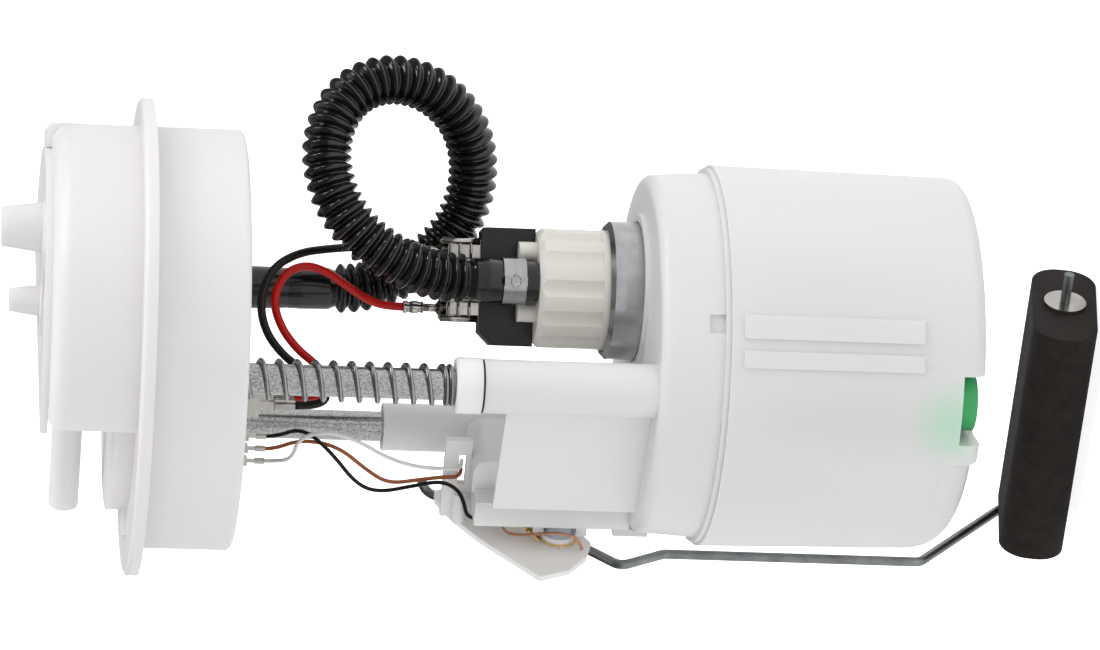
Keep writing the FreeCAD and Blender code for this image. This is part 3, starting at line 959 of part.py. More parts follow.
def make_arm_holder():
    body = new_body("arm_holder")
    plate = new_sketch(body, "plate", "YZ_Plane", "Dim.holderInner")
    draw_polygon(plate, [(f"Dim.hubY + {y}", f"-Dim.hubZ + {z}") for y, z in HOLDER_OUTLINE])
    pad(body, plate, "Dim.holderThick")
    fillet(body, "Dim.holderRound", lambda e: isinstance(e.Curve, Part.Line)
           and abs(e.BoundBox.XLength - d.holderThick) < 0.01)
    start, end = arm_points()[1:3]
    way = end - start
    turn = Rotation(Vector(0, 1, 0), way)
    for index, share in enumerate(CLIP_SHARES, start=1):
        middle = start + way * share
        clip = body.newObject("PartDesign::AdditiveBox", f"snap_{index}")
        clip.setExpression("Length", "Dim.clipHigh")
        clip.setExpression("Width", "Dim.snapLong")
        clip.setExpression("Height", "Dim.snapWide")
        clip.Placement = Placement(Vector(d.holderInner + d.holderThick, middle.y, middle.z)
                                   + turn.multVec(Vector(0, -d.snapLong / 2, -d.snapWide / 2)), turn)
    groove = body.newObject("PartDesign::SubtractiveCylinder", "wire_groove")
    groove.setExpression("Radius", "Dim.armWire")
    groove.Height = way.Length
    groove.Placement = Placement(start, Rotation(Vector(0, 0, 1), way))
    return body


def make_float_arm():
    make_arm_holder()
    shape_node("float_wire", swept(rounded_path(arm_points(), d.armBend), d.armWire))
    body = new_body("float")
    end = new_sketch(body, "section", "YZ_Plane", "Dim.floatTop")
    draw_box(end, "-Dim.floatWide / 2", "Dim.floatWide / 2", "-Dim.floatThick / 2", "Dim.floatThick / 2")
    pad(body, end, "Dim.floatEnd - Dim.floatTop")
    fillet(body, "Dim.floatThick / 2 - Dim.floatRound",
           lambda e: abs(e.BoundBox.XLength - d.floatEnd + d.floatTop) < 0.01)
    hole = new_sketch(body, "wire_hole", "YZ_Plane", "Dim.floatTop")
    draw_circle(hole, "0", "0", "Dim.armWire + Dim.floatGap")
    pocket(body, hole, "Dim.floatEnd - Dim.floatTop + 1", reverse=True)
    body.Placement = Placement(Vector(0, d.floatY, -d.floatZ), Rotation(Vector(1, 0, 0), d.floatLean))
    body.setExpression("Placement.Base.y", "Dim.floatY")
    body.setExpression("Placement.Base.z", "-Dim.floatZ")
    body.setExpression("Placement.Rotation.Angle", "Dim.floatLean * 1 deg")
    disc("float_washer", "Dim.washerRadius", "Dim.floatTop - Dim.washerThick", "Dim.washerThick",
         "Dim.armWire", "Dim.floatY", "-Dim.floatZ")


# Hose, clamp, terminals and wires

HOSE_ROUTE = [(-8.6, -14.2, -50.0), (-8.8, -16.8, -63.5), (-13.2, -21.0, -75.6), (-19.9, -25.0, -83.8),
              (-29.2, -28.6, -88.8), (-40.6, -31.0, -89.8), (-52.2, -32.6, -86.4), (-61.3, -33.2, -78.0),
              (-65.9, -32.0, -67.0), (-65.3, -28.3, -56.6), (-60.4, -22.1, -49.4), (-52.2, -14.0, -46.3),
              (-42.8, -6.4, -48.9), (-34.8, -0.8, -55.4), (-28.4, 2.0, -65.2), (-23.4, 1.2, -75.2)]
RED_WIRE = [(-11.8, -4.2, -60.2), (-17.2, -1.4, -54.4), (-22.2, -0.2, -48.6), (-24.8, 0.6, -42.2),
            (-22.8, 2.6, -36.4), (-17.2, 6.8, -33.6), (-11.6, 12.0, -35.8), (-6.8, 15.8, -40.6),
            (-4.1, 18.5, -45.6), (-1.5, 21.3, -48.6), (1.2, 24.1, -48.4)]
BLACK_WIRE = [(-23.2, -13.0, -58.2), (-24.8, -8.6, -49.6), (-26.2, -3.2, -40.4), (-24.6, 3.4, -32.8),
              (-18.2, 9.6, -29.8), (-11.4, 15.0, -31.6), (-6.6, 19.8, -37.0), (-4.4, 23.4, -42.8),
              (-2.4, 26.6, -47.4), (0.2, 29.8, -48.4)]
SENDER_BLACK = [(24.8, 4.0, -45.0), (30.0, 8.4, -53.0), (39.6, 8.8, -60.4), (42.2, 8.6, -66.8),
                (39.6, 9.0, -76.0), (37.2, 9.6, -84.0), (39.4, 10.8, -88.8), (43.6, 11.4, -90.6),
                (47.4, 11.2, -91.6), (49.0, 10.2, -94.8)]
SENDER_BROWN = [(29.6, 2.6, -44.6), (28.4, 7.0, -54.4), (36.6, 7.4, -64.0), (40.2, 7.0, -69.8),
                (38.4, 7.6, -77.6), (36.6, 8.6, -84.0), (36.5, 8.6, -89.3)]
SENDER_WHITE = [(35.2, 4.0, -42.6), (26.4, 7.2, -43.6), (22.8, 9.0, -50.6), (25.0, 9.4, -59.4),
                (30.4, 9.6, -68.2), (33.2, 9.4, -76.8), (33.6, 9.2, -84.4), (33.9, 8.8, -89.3)]
BRAID = [(49.6, 15.4, -101.6), (49.0, 18.0, -105.6), (46.6, 20.6, -111.4), (45.8, 21.2, -117.2),
         (47.6, 21.2, -122.0)]


def route(*groups):
    """Joins lists of places into one list of points."""
    return [Vector(*place) for group in groups for place in group]


def make_hose():
    top = (d.feedX, d.feedY, -d.hoseTop)
    nipple = at_pump(d.nipX, d.nipY, 0)
    low = (nipple.x, nipple.y, -d.headTop + d.hoseSeat)
    above = (nipple.x, nipple.y, low[2] + d.cuffLong)
    path = rounded_path(route([top], HOSE_ROUTE, [above, low]), report="hose")
    tube_shape = swept(path, d.hoseRadius)
    for x, y, z, length in ((top[0], top[1], -d.hoseTop - d.cuffLong - d.cuffIn, d.cuffLong + d.cuffIn),
                            (low[0], low[1], low[2], d.cuffLong)):
        outer = Part.makeCylinder(d.hoseRadius + 1, length, Vector(x, y, z))
        inner = Part.makeCylinder(d.hoseCuff, length, Vector(x, y, z))
        tube_shape = tube_shape.cut(outer.cut(inner))
    upper = Part.makeCylinder(d.hoseBore + d.hoseGap, d.feedDrop - d.hoseTop + d.hoseSeat,
                              Vector(top[0], top[1], -d.feedDrop - d.hoseSeat))
    lower = Part.makeCylinder(d.nipRadius + d.hoseGap, d.headTop - d.nipTop, Vector(*low))
    shape_node("fuel_hose", tube_shape.cut(upper).cut(lower))
    clamp = Part.makeCylinder(d.clampRadius, d.clampWide, Vector(0, 0, -d.clampAt - d.clampWide))
    grip = Part.makeCylinder(d.hoseCuff + d.clampGap, d.clampWide * 3, Vector(0, 0, -d.clampAt - d.clampWide * 2))
    ear = box_between(-d.clampEar / 2, d.clampEar / 2, -d.clampRadius - d.clampEar / 2, -d.hoseCuff,
                      -d.clampAt - d.clampWide, -d.clampAt)
    node = shape_node("hose_clamp", clamp.fuse(ear).cut(grip).removeSplitter())
    node.Placement = Placement(nipple, Rotation(Vector(0, 0, 1), d.pumpTurn))


def crimp_terminal(tag, wire, scale=1.0):
    """A push-on terminal, blade slot up at z = 0, with its neck and a crimp barrel hanging below."""
    wide, thick = d.lugWide * scale, d.lugThick * scale
    shell = box_between(-wide / 2, wide / 2, -thick / 2, thick / 2, -d.lugLong * scale, 0)
    slot = box_between(-tag / 2, tag / 2, -d.tagThick / 2, d.tagThick / 2, -d.lugLong * scale * 0.9, 1)
    neck = box_between(-d.neckWide * scale / 2, d.neckWide * scale / 2, -thick / 4, thick / 4,
                       -(d.lugLong + d.neckLong) * scale - 1, -d.lugLong * scale + 0.5)
    barrel = Part.makeCylinder(d.crimpRadius * scale, d.crimpLong * scale,
                               Vector(0, 0, -(d.lugLong + d.neckLong + d.crimpLong) * scale))
    bore = Part.makeCylinder(wire, d.crimpLong * scale * 0.8,
                             Vector(0, 0, -(d.lugLong + d.neckLong + d.crimpLong) * scale))
    return shell.cut(slot).fuse([neck, barrel]).cut(bore).removeSplitter()


def terminal_length(scale=1.0):
    return (d.lugLong + d.neckLong + d.crimpLong) * scale


def make_pump_terminals():
    """The two push-on terminals on the pump's blades, crimps up."""
    shapes = []
    for x in (d.tag1X, d.tag2X):
        shape = crimp_terminal(d.tagWidth, d.pumpWire)
        shape.rotate(Vector(), Vector(1, 0, 0), 180)
        shape.translate(Vector(x, d.tagY, -d.blockTop + d.lugSeat))
        shapes.append(shape)
    node = shape_node("pump_terminals", Part.makeCompound(shapes))
    node.Placement = Placement(Vector(d.pumpX, d.pumpY, 0), Rotation(Vector(0, 0, 1), d.pumpTurn))


def make_cap_terminals():
    """Blades under the cap with their push-on terminals: two for the pump and three for the sender."""
    shapes, blades = [], []
    for x, y in ((d.feed1X, d.feed1Y), (d.feed2X, d.feed2Y)):
        shape = crimp_terminal(d.tagWidth, d.pumpWire)
        shape.translate(Vector(x, y, -d.feedTop))
        shapes.append(shape)
        blades.append(box_between(x - d.tagWidth / 2, x + d.tagWidth / 2, y - d.tagThick / 2,
                                  y + d.tagThick / 2, -d.feedTop - d.bladeIn, d.deckTop - d.capWall))
    shape_node("cap_pump_terminals", Part.makeCompound(shapes))
    shapes = []
    for x in (d.signal1X, d.signal1X + d.signalPitch, d.signal1X + d.signalPitch * 2):
        shape = crimp_terminal(d.signalTag, d.signalWire, d.signalScale)
        shape.rotate(Vector(), Vector(0, 0, 1), 90)
        shape.translate(Vector(x, d.signalY, -d.signalTop))
        shapes.append(shape)
        blades.append(box_between(x - d.tagThick / 2, x + d.tagThick / 2, d.signalY - d.signalTag / 2,
                                  d.signalY + d.signalTag / 2, -d.signalTop - d.bladeIn * d.signalScale,
                                  d.deckTop - d.capWall))
    shape_node("cap_sender_terminals", Part.makeCompound(shapes))
    shape_node("cap_blades", Part.makeCompound(blades))


def make_wires():
    """Wires from terminal to terminal, each one whole."""
    red_end = at_pump(d.tag2X, d.tagY, -d.blockTop + d.lugSeat + terminal_length())
    black_end = at_pump(d.tag1X, d.tagY, -d.blockTop + d.lugSeat + terminal_length())
    drop = -d.feedTop - terminal_length()
    for label, start, middle, end in (
            ("pump_wire_red", red_end, RED_WIRE, Vector(d.feed1X, d.feed1Y, drop)),
            ("pump_wire_black", black_end, BLACK_WIRE, Vector(d.feed2X, d.feed2Y, drop))):
        points = [start, start + Vector(0, 0, d.wireLead)] + route(middle)
        points += [end - Vector(0, 0, d.wireLead), end]
        shape_node(label, swept(rounded_path(points, report=label), d.pumpWire))
    drop = -d.signalTop - terminal_length(d.signalScale)
    in_slot, past_ear = -(d.earTop + d.earEnd) / 2, d.earY - d.signalWire
    on_plate = d.tagSeat + d.braceThick + d.signalWire + d.hoseGap
    ends = {
        "sender_wire_black": (0, SENDER_BLACK, Vector(on_plate, d.tagBack + d.plateWide / 4, d.plateLong * 0.6 - d.tagEnd)),
        "sender_wire_brown": (1, SENDER_BROWN, Vector(d.earSlotX + d.slotSpread, past_ear, in_slot)),
        "sender_wire_white": (2, SENDER_WHITE, Vector(d.earSlotX - d.slotSpread, past_ear, in_slot)),
    }
    for label, (place, middle, end) in ends.items():
        start = Vector(d.signal1X + d.signalPitch * place, d.signalY, drop)
        points = [start, start - Vector(0, 0, d.wireLead / 2)] + route(middle) + [end]
        shape_node(label, swept(rounded_path(points, report=label), d.signalWire))
    start = Vector(d.tagSeat + d.braceThick + d.braidWire + d.hoseGap, d.tagBack + d.plateWide * 0.8,
                   d.plateLong / 4 - d.tagEnd)
    end = Vector(d.holderInner - d.braidWire, d.hubY + 5.0, -d.hubZ - 6.4)
    points = [start] + route(BRAID) + [end]
    shape_node("sender_braid", swept(rounded_path(points, report="braid"), d.braidWire))


make_flange_cap()
make_connector_pins()
make_rods()
make_spring()
make_bush()
make_reservoir_cover()
make_bucket()
make_foot_valve()
make_pump_can()
make_outlet_cover()
make_check_valve()
make_terminal_block()
make_motor()
make_isolator_and_strainer()
make_sender_body()
make_sender_cover()
make_sender_contacts()
make_hub()
make_float_arm()
make_hose()
make_pump_terminals()
make_cap_terminals()
make_wires()
doc.recompute()

# Every object is checked before any file is written.

failed = [o.Label for o in doc.Objects if "Invalid" in o.State or "Error" in o.State]
nodes = [o for o in doc.Objects if o.TypeId.startswith(("PartDesign::Body", "Part::"))]
for node in nodes:
    if node.Shape.isNull() or not node.Shape.isValid():
        failed.append(node.Label)
if failed:
    raise SystemExit("Failed: " + ", ".join(failed))
os.makedirs("parts", exist_ok=True)
for node in nodes:
    node.Shape.exportStep(f"parts/{node.Label}.step")
print(len(nodes), "nodes written")
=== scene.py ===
import json
import math

import bpy
import numpy as np
from mathutils import Matrix, Vector


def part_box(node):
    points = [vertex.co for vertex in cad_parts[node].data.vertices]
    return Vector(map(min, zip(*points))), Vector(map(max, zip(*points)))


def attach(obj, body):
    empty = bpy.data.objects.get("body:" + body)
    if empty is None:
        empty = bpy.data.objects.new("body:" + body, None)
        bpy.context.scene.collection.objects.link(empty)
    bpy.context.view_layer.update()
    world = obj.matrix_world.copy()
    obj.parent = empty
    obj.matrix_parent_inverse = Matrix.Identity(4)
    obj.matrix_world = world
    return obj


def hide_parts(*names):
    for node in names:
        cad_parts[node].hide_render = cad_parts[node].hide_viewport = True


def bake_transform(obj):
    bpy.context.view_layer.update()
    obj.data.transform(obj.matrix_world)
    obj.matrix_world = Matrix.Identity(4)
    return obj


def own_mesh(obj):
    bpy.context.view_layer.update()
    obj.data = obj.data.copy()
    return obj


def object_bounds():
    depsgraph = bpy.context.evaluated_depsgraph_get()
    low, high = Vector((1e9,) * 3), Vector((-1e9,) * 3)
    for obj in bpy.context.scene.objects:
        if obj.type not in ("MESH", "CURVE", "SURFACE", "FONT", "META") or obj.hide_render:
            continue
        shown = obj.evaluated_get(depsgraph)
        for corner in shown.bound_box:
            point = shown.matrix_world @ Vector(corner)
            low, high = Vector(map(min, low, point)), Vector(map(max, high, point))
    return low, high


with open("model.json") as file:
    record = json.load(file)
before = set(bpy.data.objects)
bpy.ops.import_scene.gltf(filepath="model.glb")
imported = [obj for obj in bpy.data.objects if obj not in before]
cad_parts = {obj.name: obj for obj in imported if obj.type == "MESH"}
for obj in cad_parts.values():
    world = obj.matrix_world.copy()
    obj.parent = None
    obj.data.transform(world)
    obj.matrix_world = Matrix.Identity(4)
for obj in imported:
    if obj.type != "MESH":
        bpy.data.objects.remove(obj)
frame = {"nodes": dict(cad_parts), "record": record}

# The looks of a fuel pump module, in metres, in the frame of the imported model: +Z points up out of
# the tank and the origin is the middle of the flange ring's underside.

CAD_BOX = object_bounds()
NODES = frame["nodes"]

# Routes of the hose and the wires, from terminal to terminal.
HOSE_ROUTE = [
    (-0.0086, -0.0142, -0.0010), (-0.0086, -0.0142, -0.0500), (-0.0088, -0.0168, -0.0635),
    (-0.0132, -0.0210, -0.0756), (-0.0199, -0.0250, -0.0838), (-0.0292, -0.0286, -0.0888),
    (-0.0406, -0.0310, -0.0898), (-0.0522, -0.0326, -0.0864), (-0.0613, -0.0332, -0.0780),
    (-0.0659, -0.0320, -0.0670), (-0.0653, -0.0283, -0.0566), (-0.0604, -0.0221, -0.0494),
    (-0.0522, -0.0140, -0.0463), (-0.0428, -0.0064, -0.0489), (-0.0348, -0.0008, -0.0554),
    (-0.0284, 0.0020, -0.0652), (-0.0234, 0.0012, -0.0752), (-0.0207, -0.0010, -0.0870),
    (-0.0207, -0.0010, -0.1060),
]
RED_WIRE = [
    (-0.0089, -0.0058, -0.0706), (-0.0089, -0.0058, -0.0656), (-0.0118, -0.0042, -0.0602),
    (-0.0172, -0.0014, -0.0544), (-0.0222, -0.0002, -0.0486), (-0.0248, 0.0006, -0.0422),
    (-0.0228, 0.0026, -0.0364), (-0.0172, 0.0068, -0.0336), (-0.0116, 0.0120, -0.0358),
    (-0.0068, 0.0158, -0.0406), (-0.0041, 0.0185, -0.0456), (-0.0015, 0.0213, -0.0486),
    (0.0012, 0.0241, -0.0484), (0.0024, 0.0254, -0.0446), (0.0024, 0.0254, -0.0396),
]
BLACK_WIRE = [
    (-0.0226, -0.0138, -0.0706), (-0.0226, -0.0138, -0.0656), (-0.0232, -0.0130, -0.0582),
    (-0.0248, -0.0086, -0.0496), (-0.0262, -0.0032, -0.0404), (-0.0246, 0.0034, -0.0328),
    (-0.0182, 0.0096, -0.0298), (-0.0114, 0.0150, -0.0316), (-0.0066, 0.0198, -0.0370),
    (-0.0044, 0.0234, -0.0428), (-0.0024, 0.0266, -0.0474), (0.0002, 0.0298, -0.0484),
    (0.0016, 0.0310, -0.0446), (0.0016, 0.0310, -0.0396),
]
SENDER_BLACK = [
    (0.0304, 0.0000, -0.0353), (0.0304, 0.0000, -0.0378), (0.0248, 0.0040, -0.0450),
    (0.0300, 0.0084, -0.0530), (0.0396, 0.0088, -0.0604), (0.0422, 0.0086, -0.0668),
    (0.0396, 0.0090, -0.0760), (0.0372, 0.0096, -0.0840), (0.0394, 0.0108, -0.0888),
    (0.0436, 0.0114, -0.0906), (0.0474, 0.0112, -0.0916), (0.0490, 0.0102, -0.0948),
    (0.0487, 0.0100, -0.0995),
]
SENDER_BROWN = [
    (0.0344, 0.0000, -0.0353), (0.0344, 0.0000, -0.0378), (0.0296, 0.0026, -0.0446),
    (0.0284, 0.0070, -0.0544), (0.0366, 0.0074, -0.0640), (0.0402, 0.0070, -0.0698),
    (0.0384, 0.0076, -0.0776), (0.0366, 0.0086, -0.0840), (0.0365, 0.0086, -0.0893),
    (0.0365, 0.0040, -0.0896),
]
SENDER_WHITE = [
    (0.0384, 0.0000, -0.0353), (0.0384, 0.0000, -0.0378), (0.0352, 0.0040, -0.0426),
    (0.0264, 0.0072, -0.0436), (0.0228, 0.0090, -0.0506), (0.0250, 0.0094, -0.0594),
    (0.0304, 0.0096, -0.0682), (0.0332, 0.0094, -0.0768), (0.0336, 0.0092, -0.0844),
    (0.0339, 0.0088, -0.0893), (0.0339, 0.0040, -0.0896),
]
BRAID = [
    (0.0485, 0.0131, -0.1013), (0.0496, 0.0154, -0.1016), (0.0490, 0.0180, -0.1056),
    (0.0466, 0.0206, -0.1114), (0.0458, 0.0212, -0.1172), (0.0476, 0.0212, -0.1220),
    (0.0513, 0.0205, -0.1232),
]

PUMP_WIRE_RADIUS = 0.00115
SENDER_WIRE_RADIUS = 0.00055
WIRES = {
    "pump_wire_red": (RED_WIRE, PUMP_WIRE_RADIUS, "red_wire"),
    "pump_wire_black": (BLACK_WIRE, PUMP_WIRE_RADIUS, "black_wire"),
    "sender_wire_black": (SENDER_BLACK, SENDER_WIRE_RADIUS, "black_wire"),
    "sender_wire_brown": (SENDER_BROWN, SENDER_WIRE_RADIUS, "brown_wire"),
    "sender_wire_white": (SENDER_WHITE, SENDER_WIRE_RADIUS, "white_wire"),
}


# Camera: the photograph looks at the module from the side, with the flange to the left.

def make_camera():
    """Set up the photograph's camera and give back the module's axes as that camera sees them."""
    image_width, image_height = 1100, 650
    focal_pixels, distance = 5500, 1.512
    sensor_width_mm = 36
    nearest, farthest = 0.05, 200
    tilt, roll, turn = math.radians(7.3), math.radians(1.9), math.radians(30)
    origin_seen_at, origin_ahead = (144, 337), 0.0146
    # The axes of the module as the camera sees them: rightwards, upwards and towards it.
    across = Vector((math.sin(roll), math.cos(roll), 0))
    away = Vector((-math.sin(tilt) * math.cos(roll), math.sin(tilt) * math.sin(roll), -math.cos(tilt)))
    up_axis = Vector((-math.cos(tilt) * math.cos(roll), math.cos(tilt) * math.sin(roll), math.sin(tilt)))
    x_axis = -math.cos(turn) * across + math.sin(turn) * away
    y_axis = -math.sin(turn) * across - math.cos(turn) * away
    seen = Matrix((x_axis, y_axis, up_axis))  # rows: each axis of the module, in the camera's axes
    per_pixel = (distance - origin_ahead) / focal_pixels
    origin = Vector(((origin_seen_at[0] - image_width / 2) * per_pixel,
                     (image_height / 2 - origin_seen_at[1]) * per_pixel, origin_ahead))
    place = seen @ (Vector((0, 0, distance)) - origin)
    data = bpy.data.cameras.new("photo_camera")
    data.sensor_fit = "HORIZONTAL"
    data.sensor_width = sensor_width_mm
    data.lens = sensor_width_mm * focal_pixels / image_width
    data.clip_start, data.clip_end = nearest, farthest
    camera = new_object("photo_camera", data)
    camera.matrix_world = Matrix.Translation(place) @ seen.to_4x4()
    bpy.context.scene.camera = camera
    return seen


# Materials

def shaded(color, share):
    """The same colour, darker with a share under 1 and lighter with one over it."""
    return [min(1, value * share) for value in color]


class Shader:
    """A principled material with short calls for its nodes."""

    def __init__(self, name, color, roughness, metallic=0.0, **sockets):
        self.material = bpy.data.materials.new(name)
        self.material.use_nodes = True
        self.tree = self.material.node_tree
        self.bsdf = self.tree.nodes["Principled BSDF"]
        self.color = (*color, 1)
        self.set("Base Color", self.color)
        self.set("Roughness", roughness)
        self.set("Metallic", metallic)
        for socket, value in sockets.items():
            self.set(socket.replace("_", " "), value)
        self.place = self.node("ShaderNodeTexCoord").outputs["Object"]

    def set(self, socket, value):
        self.bsdf.inputs[socket].default_value = value

    def node(self, kind, **settings):
        made = self.tree.nodes.new(kind)
        for key, value in settings.items():
            setattr(made, key, value)
        return made

    def link(self, output, target):
        self.tree.links.new(output, target)

    def noise(self, scale, detail=3.0, rough=0.55, stretch=None):
        """Cloudy noise, finer with a larger scale; stretch scales its axes one by one."""
        made = self.node("ShaderNodeTexNoise")
        made.inputs["Scale"].default_value = scale
        made.inputs["Detail"].default_value = detail
        made.inputs["Roughness"].default_value = rough
        self.link(self.stretched(stretch) if stretch else self.place, made.inputs["Vector"])
        return made.outputs["Fac"]

    def stretched(self, scale):
        made = self.node("ShaderNodeMapping")
        made.inputs["Scale"].default_value = scale
        self.link(self.place, made.inputs["Vector"])
        return made.outputs["Vector"]

    def ramp(self, value, stops):
        """A colour for a value, through stops given as (place, colour)."""
        made = self.node("ShaderNodeValToRGB")
        elements = made.color_ramp.elements
        for element, (place, color) in zip(elements, stops):
            element.position = place
            element.color = (*color, 1)
        self.link(value, made.inputs["Fac"])
        return made.outputs["Color"]

    def range(self, value, low, high):
        made = self.node("ShaderNodeMapRange")
        made.inputs["To Min"].default_value = low
        made.inputs["To Max"].default_value = high
        self.link(value, made.inputs["Value"])
        return made.outputs["Result"]

    def vary_color(self, value, spread, low=0.3, high=0.7):
        """Make the base colour darker by a share where the value is low and lighter where it is high."""
        dark = shaded(self.color[:3], 1 - spread)
        light = shaded(self.color[:3], 1 + spread)
        self.link(self.ramp(value, [(low, dark), (high, light)]), self.bsdf.inputs["Base Color"])
        return self

    def vary_roughness(self, value, low, high):
        self.link(self.range(value, low, high), self.bsdf.inputs["Roughness"])
        return self

    def paint_show_through(self, point, reach, tint, share, flat=1.0):
        """A soft patch round a point, painted where something inside shows through: its glow and shade
        painted into the base colour.

        A flat under 1 draws the patch out along Z.
        """
        scaled = Vector((point[0], point[1], point[2] * flat))
        distance = self.node("ShaderNodeVectorMath", operation="DISTANCE")
        self.link(self.stretched((1, 1, flat)), distance.inputs[0])
        distance.inputs[1].default_value = scaled
        fall = self.node("ShaderNodeMapRange", interpolation_type="SMOOTHERSTEP")
        fall.inputs["From Max"].default_value = reach
        fall.inputs["To Min"].default_value = share
        fall.inputs["To Max"].default_value = 0.0
        self.link(distance.outputs["Value"], fall.inputs["Value"])
        # The painted glow and shade of what lies inside is mixed over the base colour here.
        mix = self.node("ShaderNodeMixRGB")
        mix.inputs["Color2"].default_value = (*tint, 1)
        self.link(fall.outputs["Result"], mix.inputs["Fac"])
        base = self.bsdf.inputs["Base Color"]
        self.link(base.links[0].from_socket, mix.inputs["Color1"])
        self.link(mix.outputs["Color"], base)
        return self

    def bump(self, value, depth, strength):
        """Relief of a given depth in metres."""
        made = self.node("ShaderNodeBump")
        made.inputs["Strength"].default_value = strength
        made.inputs["Distance"].default_value = depth
        self.link(value, made.inputs["Height"])
        if self.bsdf.inputs["Normal"].is_linked:
            self.link(self.bsdf.inputs["Normal"].links[0].from_socket, made.inputs["Normal"])
        self.link(made.outputs["Normal"], self.bsdf.inputs["Normal"])
        return self


def milky_plastic(name, color, clear, roughness, painted_show_through=()):
    """Moulded polymer that lets some light through: cloudy, with painted glow and painted shade where
    what it holds shows through.
    """
    shader = Shader(name, color, roughness, IOR=1.49, Transmission_Weight=clear,
                    Subsurface_Weight=0.35, Subsurface_Scale=0.004)
    shader.set("Subsurface Radius", (1.0, 0.95, 0.85))
    flow_lines = shader.noise(scale=28, detail=2, stretch=(1, 1, 0.35))
    shader.vary_color(flow_lines, spread=0.018)
    # Painted see-through glow and shade of the parts inside, mixed into the wall's colour.
    for painted_patch in painted_show_through:
        shader.paint_show_through(*painted_patch)
    shader.vary_roughness(shader.noise(scale=90), roughness - 0.06, roughness + 0.08)
    return shader.bump(shader.noise(scale=420), depth=0.00004, strength=0.3).material


def opaque_plastic(name, color, roughness=0.42):
    """Moulded polymer or fired clay with a faint grain."""
    shader = Shader(name, color, roughness, IOR=1.5)
    shader.vary_color(shader.noise(scale=60), spread=0.06)
    shader.vary_roughness(shader.noise(scale=140), roughness - 0.08, roughness + 0.10)
    return shader.bump(shader.noise(scale=900), depth=0.00005, strength=0.4).material


def sheet_metal(name, color, roughness, grain=(1, 1, 14), spangle=0.10):
    """Rolled or drawn metal with grain and a faint crystal spangle."""
    shader = Shader(name, color, roughness, metallic=1.0)
    shader.vary_color(shader.noise(scale=160, detail=4), spangle)
    worn = shader.noise(scale=70, detail=4, stretch=grain)
    shader.vary_roughness(worn, roughness - 0.08, roughness + 0.12)
    drawn = shader.noise(scale=260, detail=2, stretch=grain)
    return shader.bump(drawn, depth=0.00003, strength=0.25).material


def speckled_zinc(name, color):
    """Zinc plate on a drawn rod: bright with dull grey speckles."""
    shader = Shader(name, color, roughness=0.3, metallic=1.0)
    speckle = shader.noise(scale=2300, rough=0.7, stretch=(1, 1, 0.6))
    dark = shaded(color, 0.48)
    shader.link(shader.ramp(speckle, [(0.36, dark), (0.56, color)]), shader.bsdf.inputs["Base Color"])
    shader.vary_roughness(speckle, 0.36, 0.16)
    return shader.bump(speckle, depth=0.00002, strength=0.10).material


def glossy_rubber(name, color, roughness):
    """Wet-looking black rubber with a thin coat."""
    shader = Shader(name, color, roughness, IOR=1.5, Coat_Weight=0.2, Coat_Roughness=0.08)
    shader.vary_color(shader.noise(scale=120), spread=0.25)
    shader.vary_roughness(shader.noise(scale=220, detail=4), roughness - 0.06, roughness + 0.16)
    return shader.bump(shader.noise(scale=520), depth=0.00010, strength=0.35).material


def wire_jacket(name, color):
    """The smooth, soft jacket of a wire."""
    shader = Shader(name, color, roughness=0.33, IOR=1.5, Subsurface_Weight=0.05,
                    Specular_IOR_Level=0.25)
    shader.vary_color(shader.noise(scale=170, detail=2), spread=0.10)
    return shader.bump(shader.noise(scale=700, detail=2), depth=0.00004, strength=0.3).material


def cell_foam(name, color):
    """Closed cell rubber foam, dark, with fine pores and a cut skin."""
    shader = Shader(name, color, roughness=0.78, IOR=1.40, Sheen_Weight=0.05)
    pores = shader.node("ShaderNodeTexVoronoi", feature="F1")
    pores.inputs["Scale"].default_value = 1500
    shader.link(shader.place, pores.inputs["Vector"])
    shader.vary_color(shader.noise(scale=230, detail=5, rough=0.7), spread=0.38)
    shader.bump(pores.outputs["Distance"], depth=0.00016, strength=0.55)
    return shader.bump(shader.noise(scale=90, detail=4), depth=0.0002, strength=0.3).material


def woven_filter(name, color):
    """Nylon mesh: two crossed sets of fine threads."""
    shader = Shader(name, color, roughness=0.7, IOR=1.5)
    weave = []
    for turn in (0, math.pi / 2):
        wave = shader.node("ShaderNodeTexWave", wave_type="BANDS", bands_direction="X")
        wave.inputs["Scale"].default_value = 420
        mapping = shader.node("ShaderNodeMapping")
        mapping.inputs["Rotation"].default_value = (turn, 0, turn)
        shader.link(shader.place, mapping.inputs["Vector"])
        shader.link(mapping.outputs["Vector"], wave.inputs["Vector"])
        weave.append(wave.outputs["Fac"])
    both = shader.node("ShaderNodeMath", operation="MAXIMUM")
    shader.link(weave[0], both.inputs[0])
    shader.link(weave[1], both.inputs[1])
    shader.vary_color(both.outputs["Value"], spread=0.3, low=0.2, high=0.9)
    return shader.bump(both.outputs["Value"], depth=0.0002, strength=0.6).material


def braided_copper(name, color):
    """Fine copper strands laid across each other."""
    shader = Shader(name, color, roughness=0.32, metallic=1.0)
    wave = shader.node("ShaderNodeTexWave", wave_type="BANDS", bands_direction="DIAGONAL")
    wave.inputs["Scale"].default_value = 1400
    shader.link(shader.place, wave.inputs["Vector"])
    shader.vary_color(wave.outputs["Fac"], spread=0.35, low=0.2, high=0.8)
    return shader.bump(wave.outputs["Fac"], depth=0.00012, strength=0.7).material


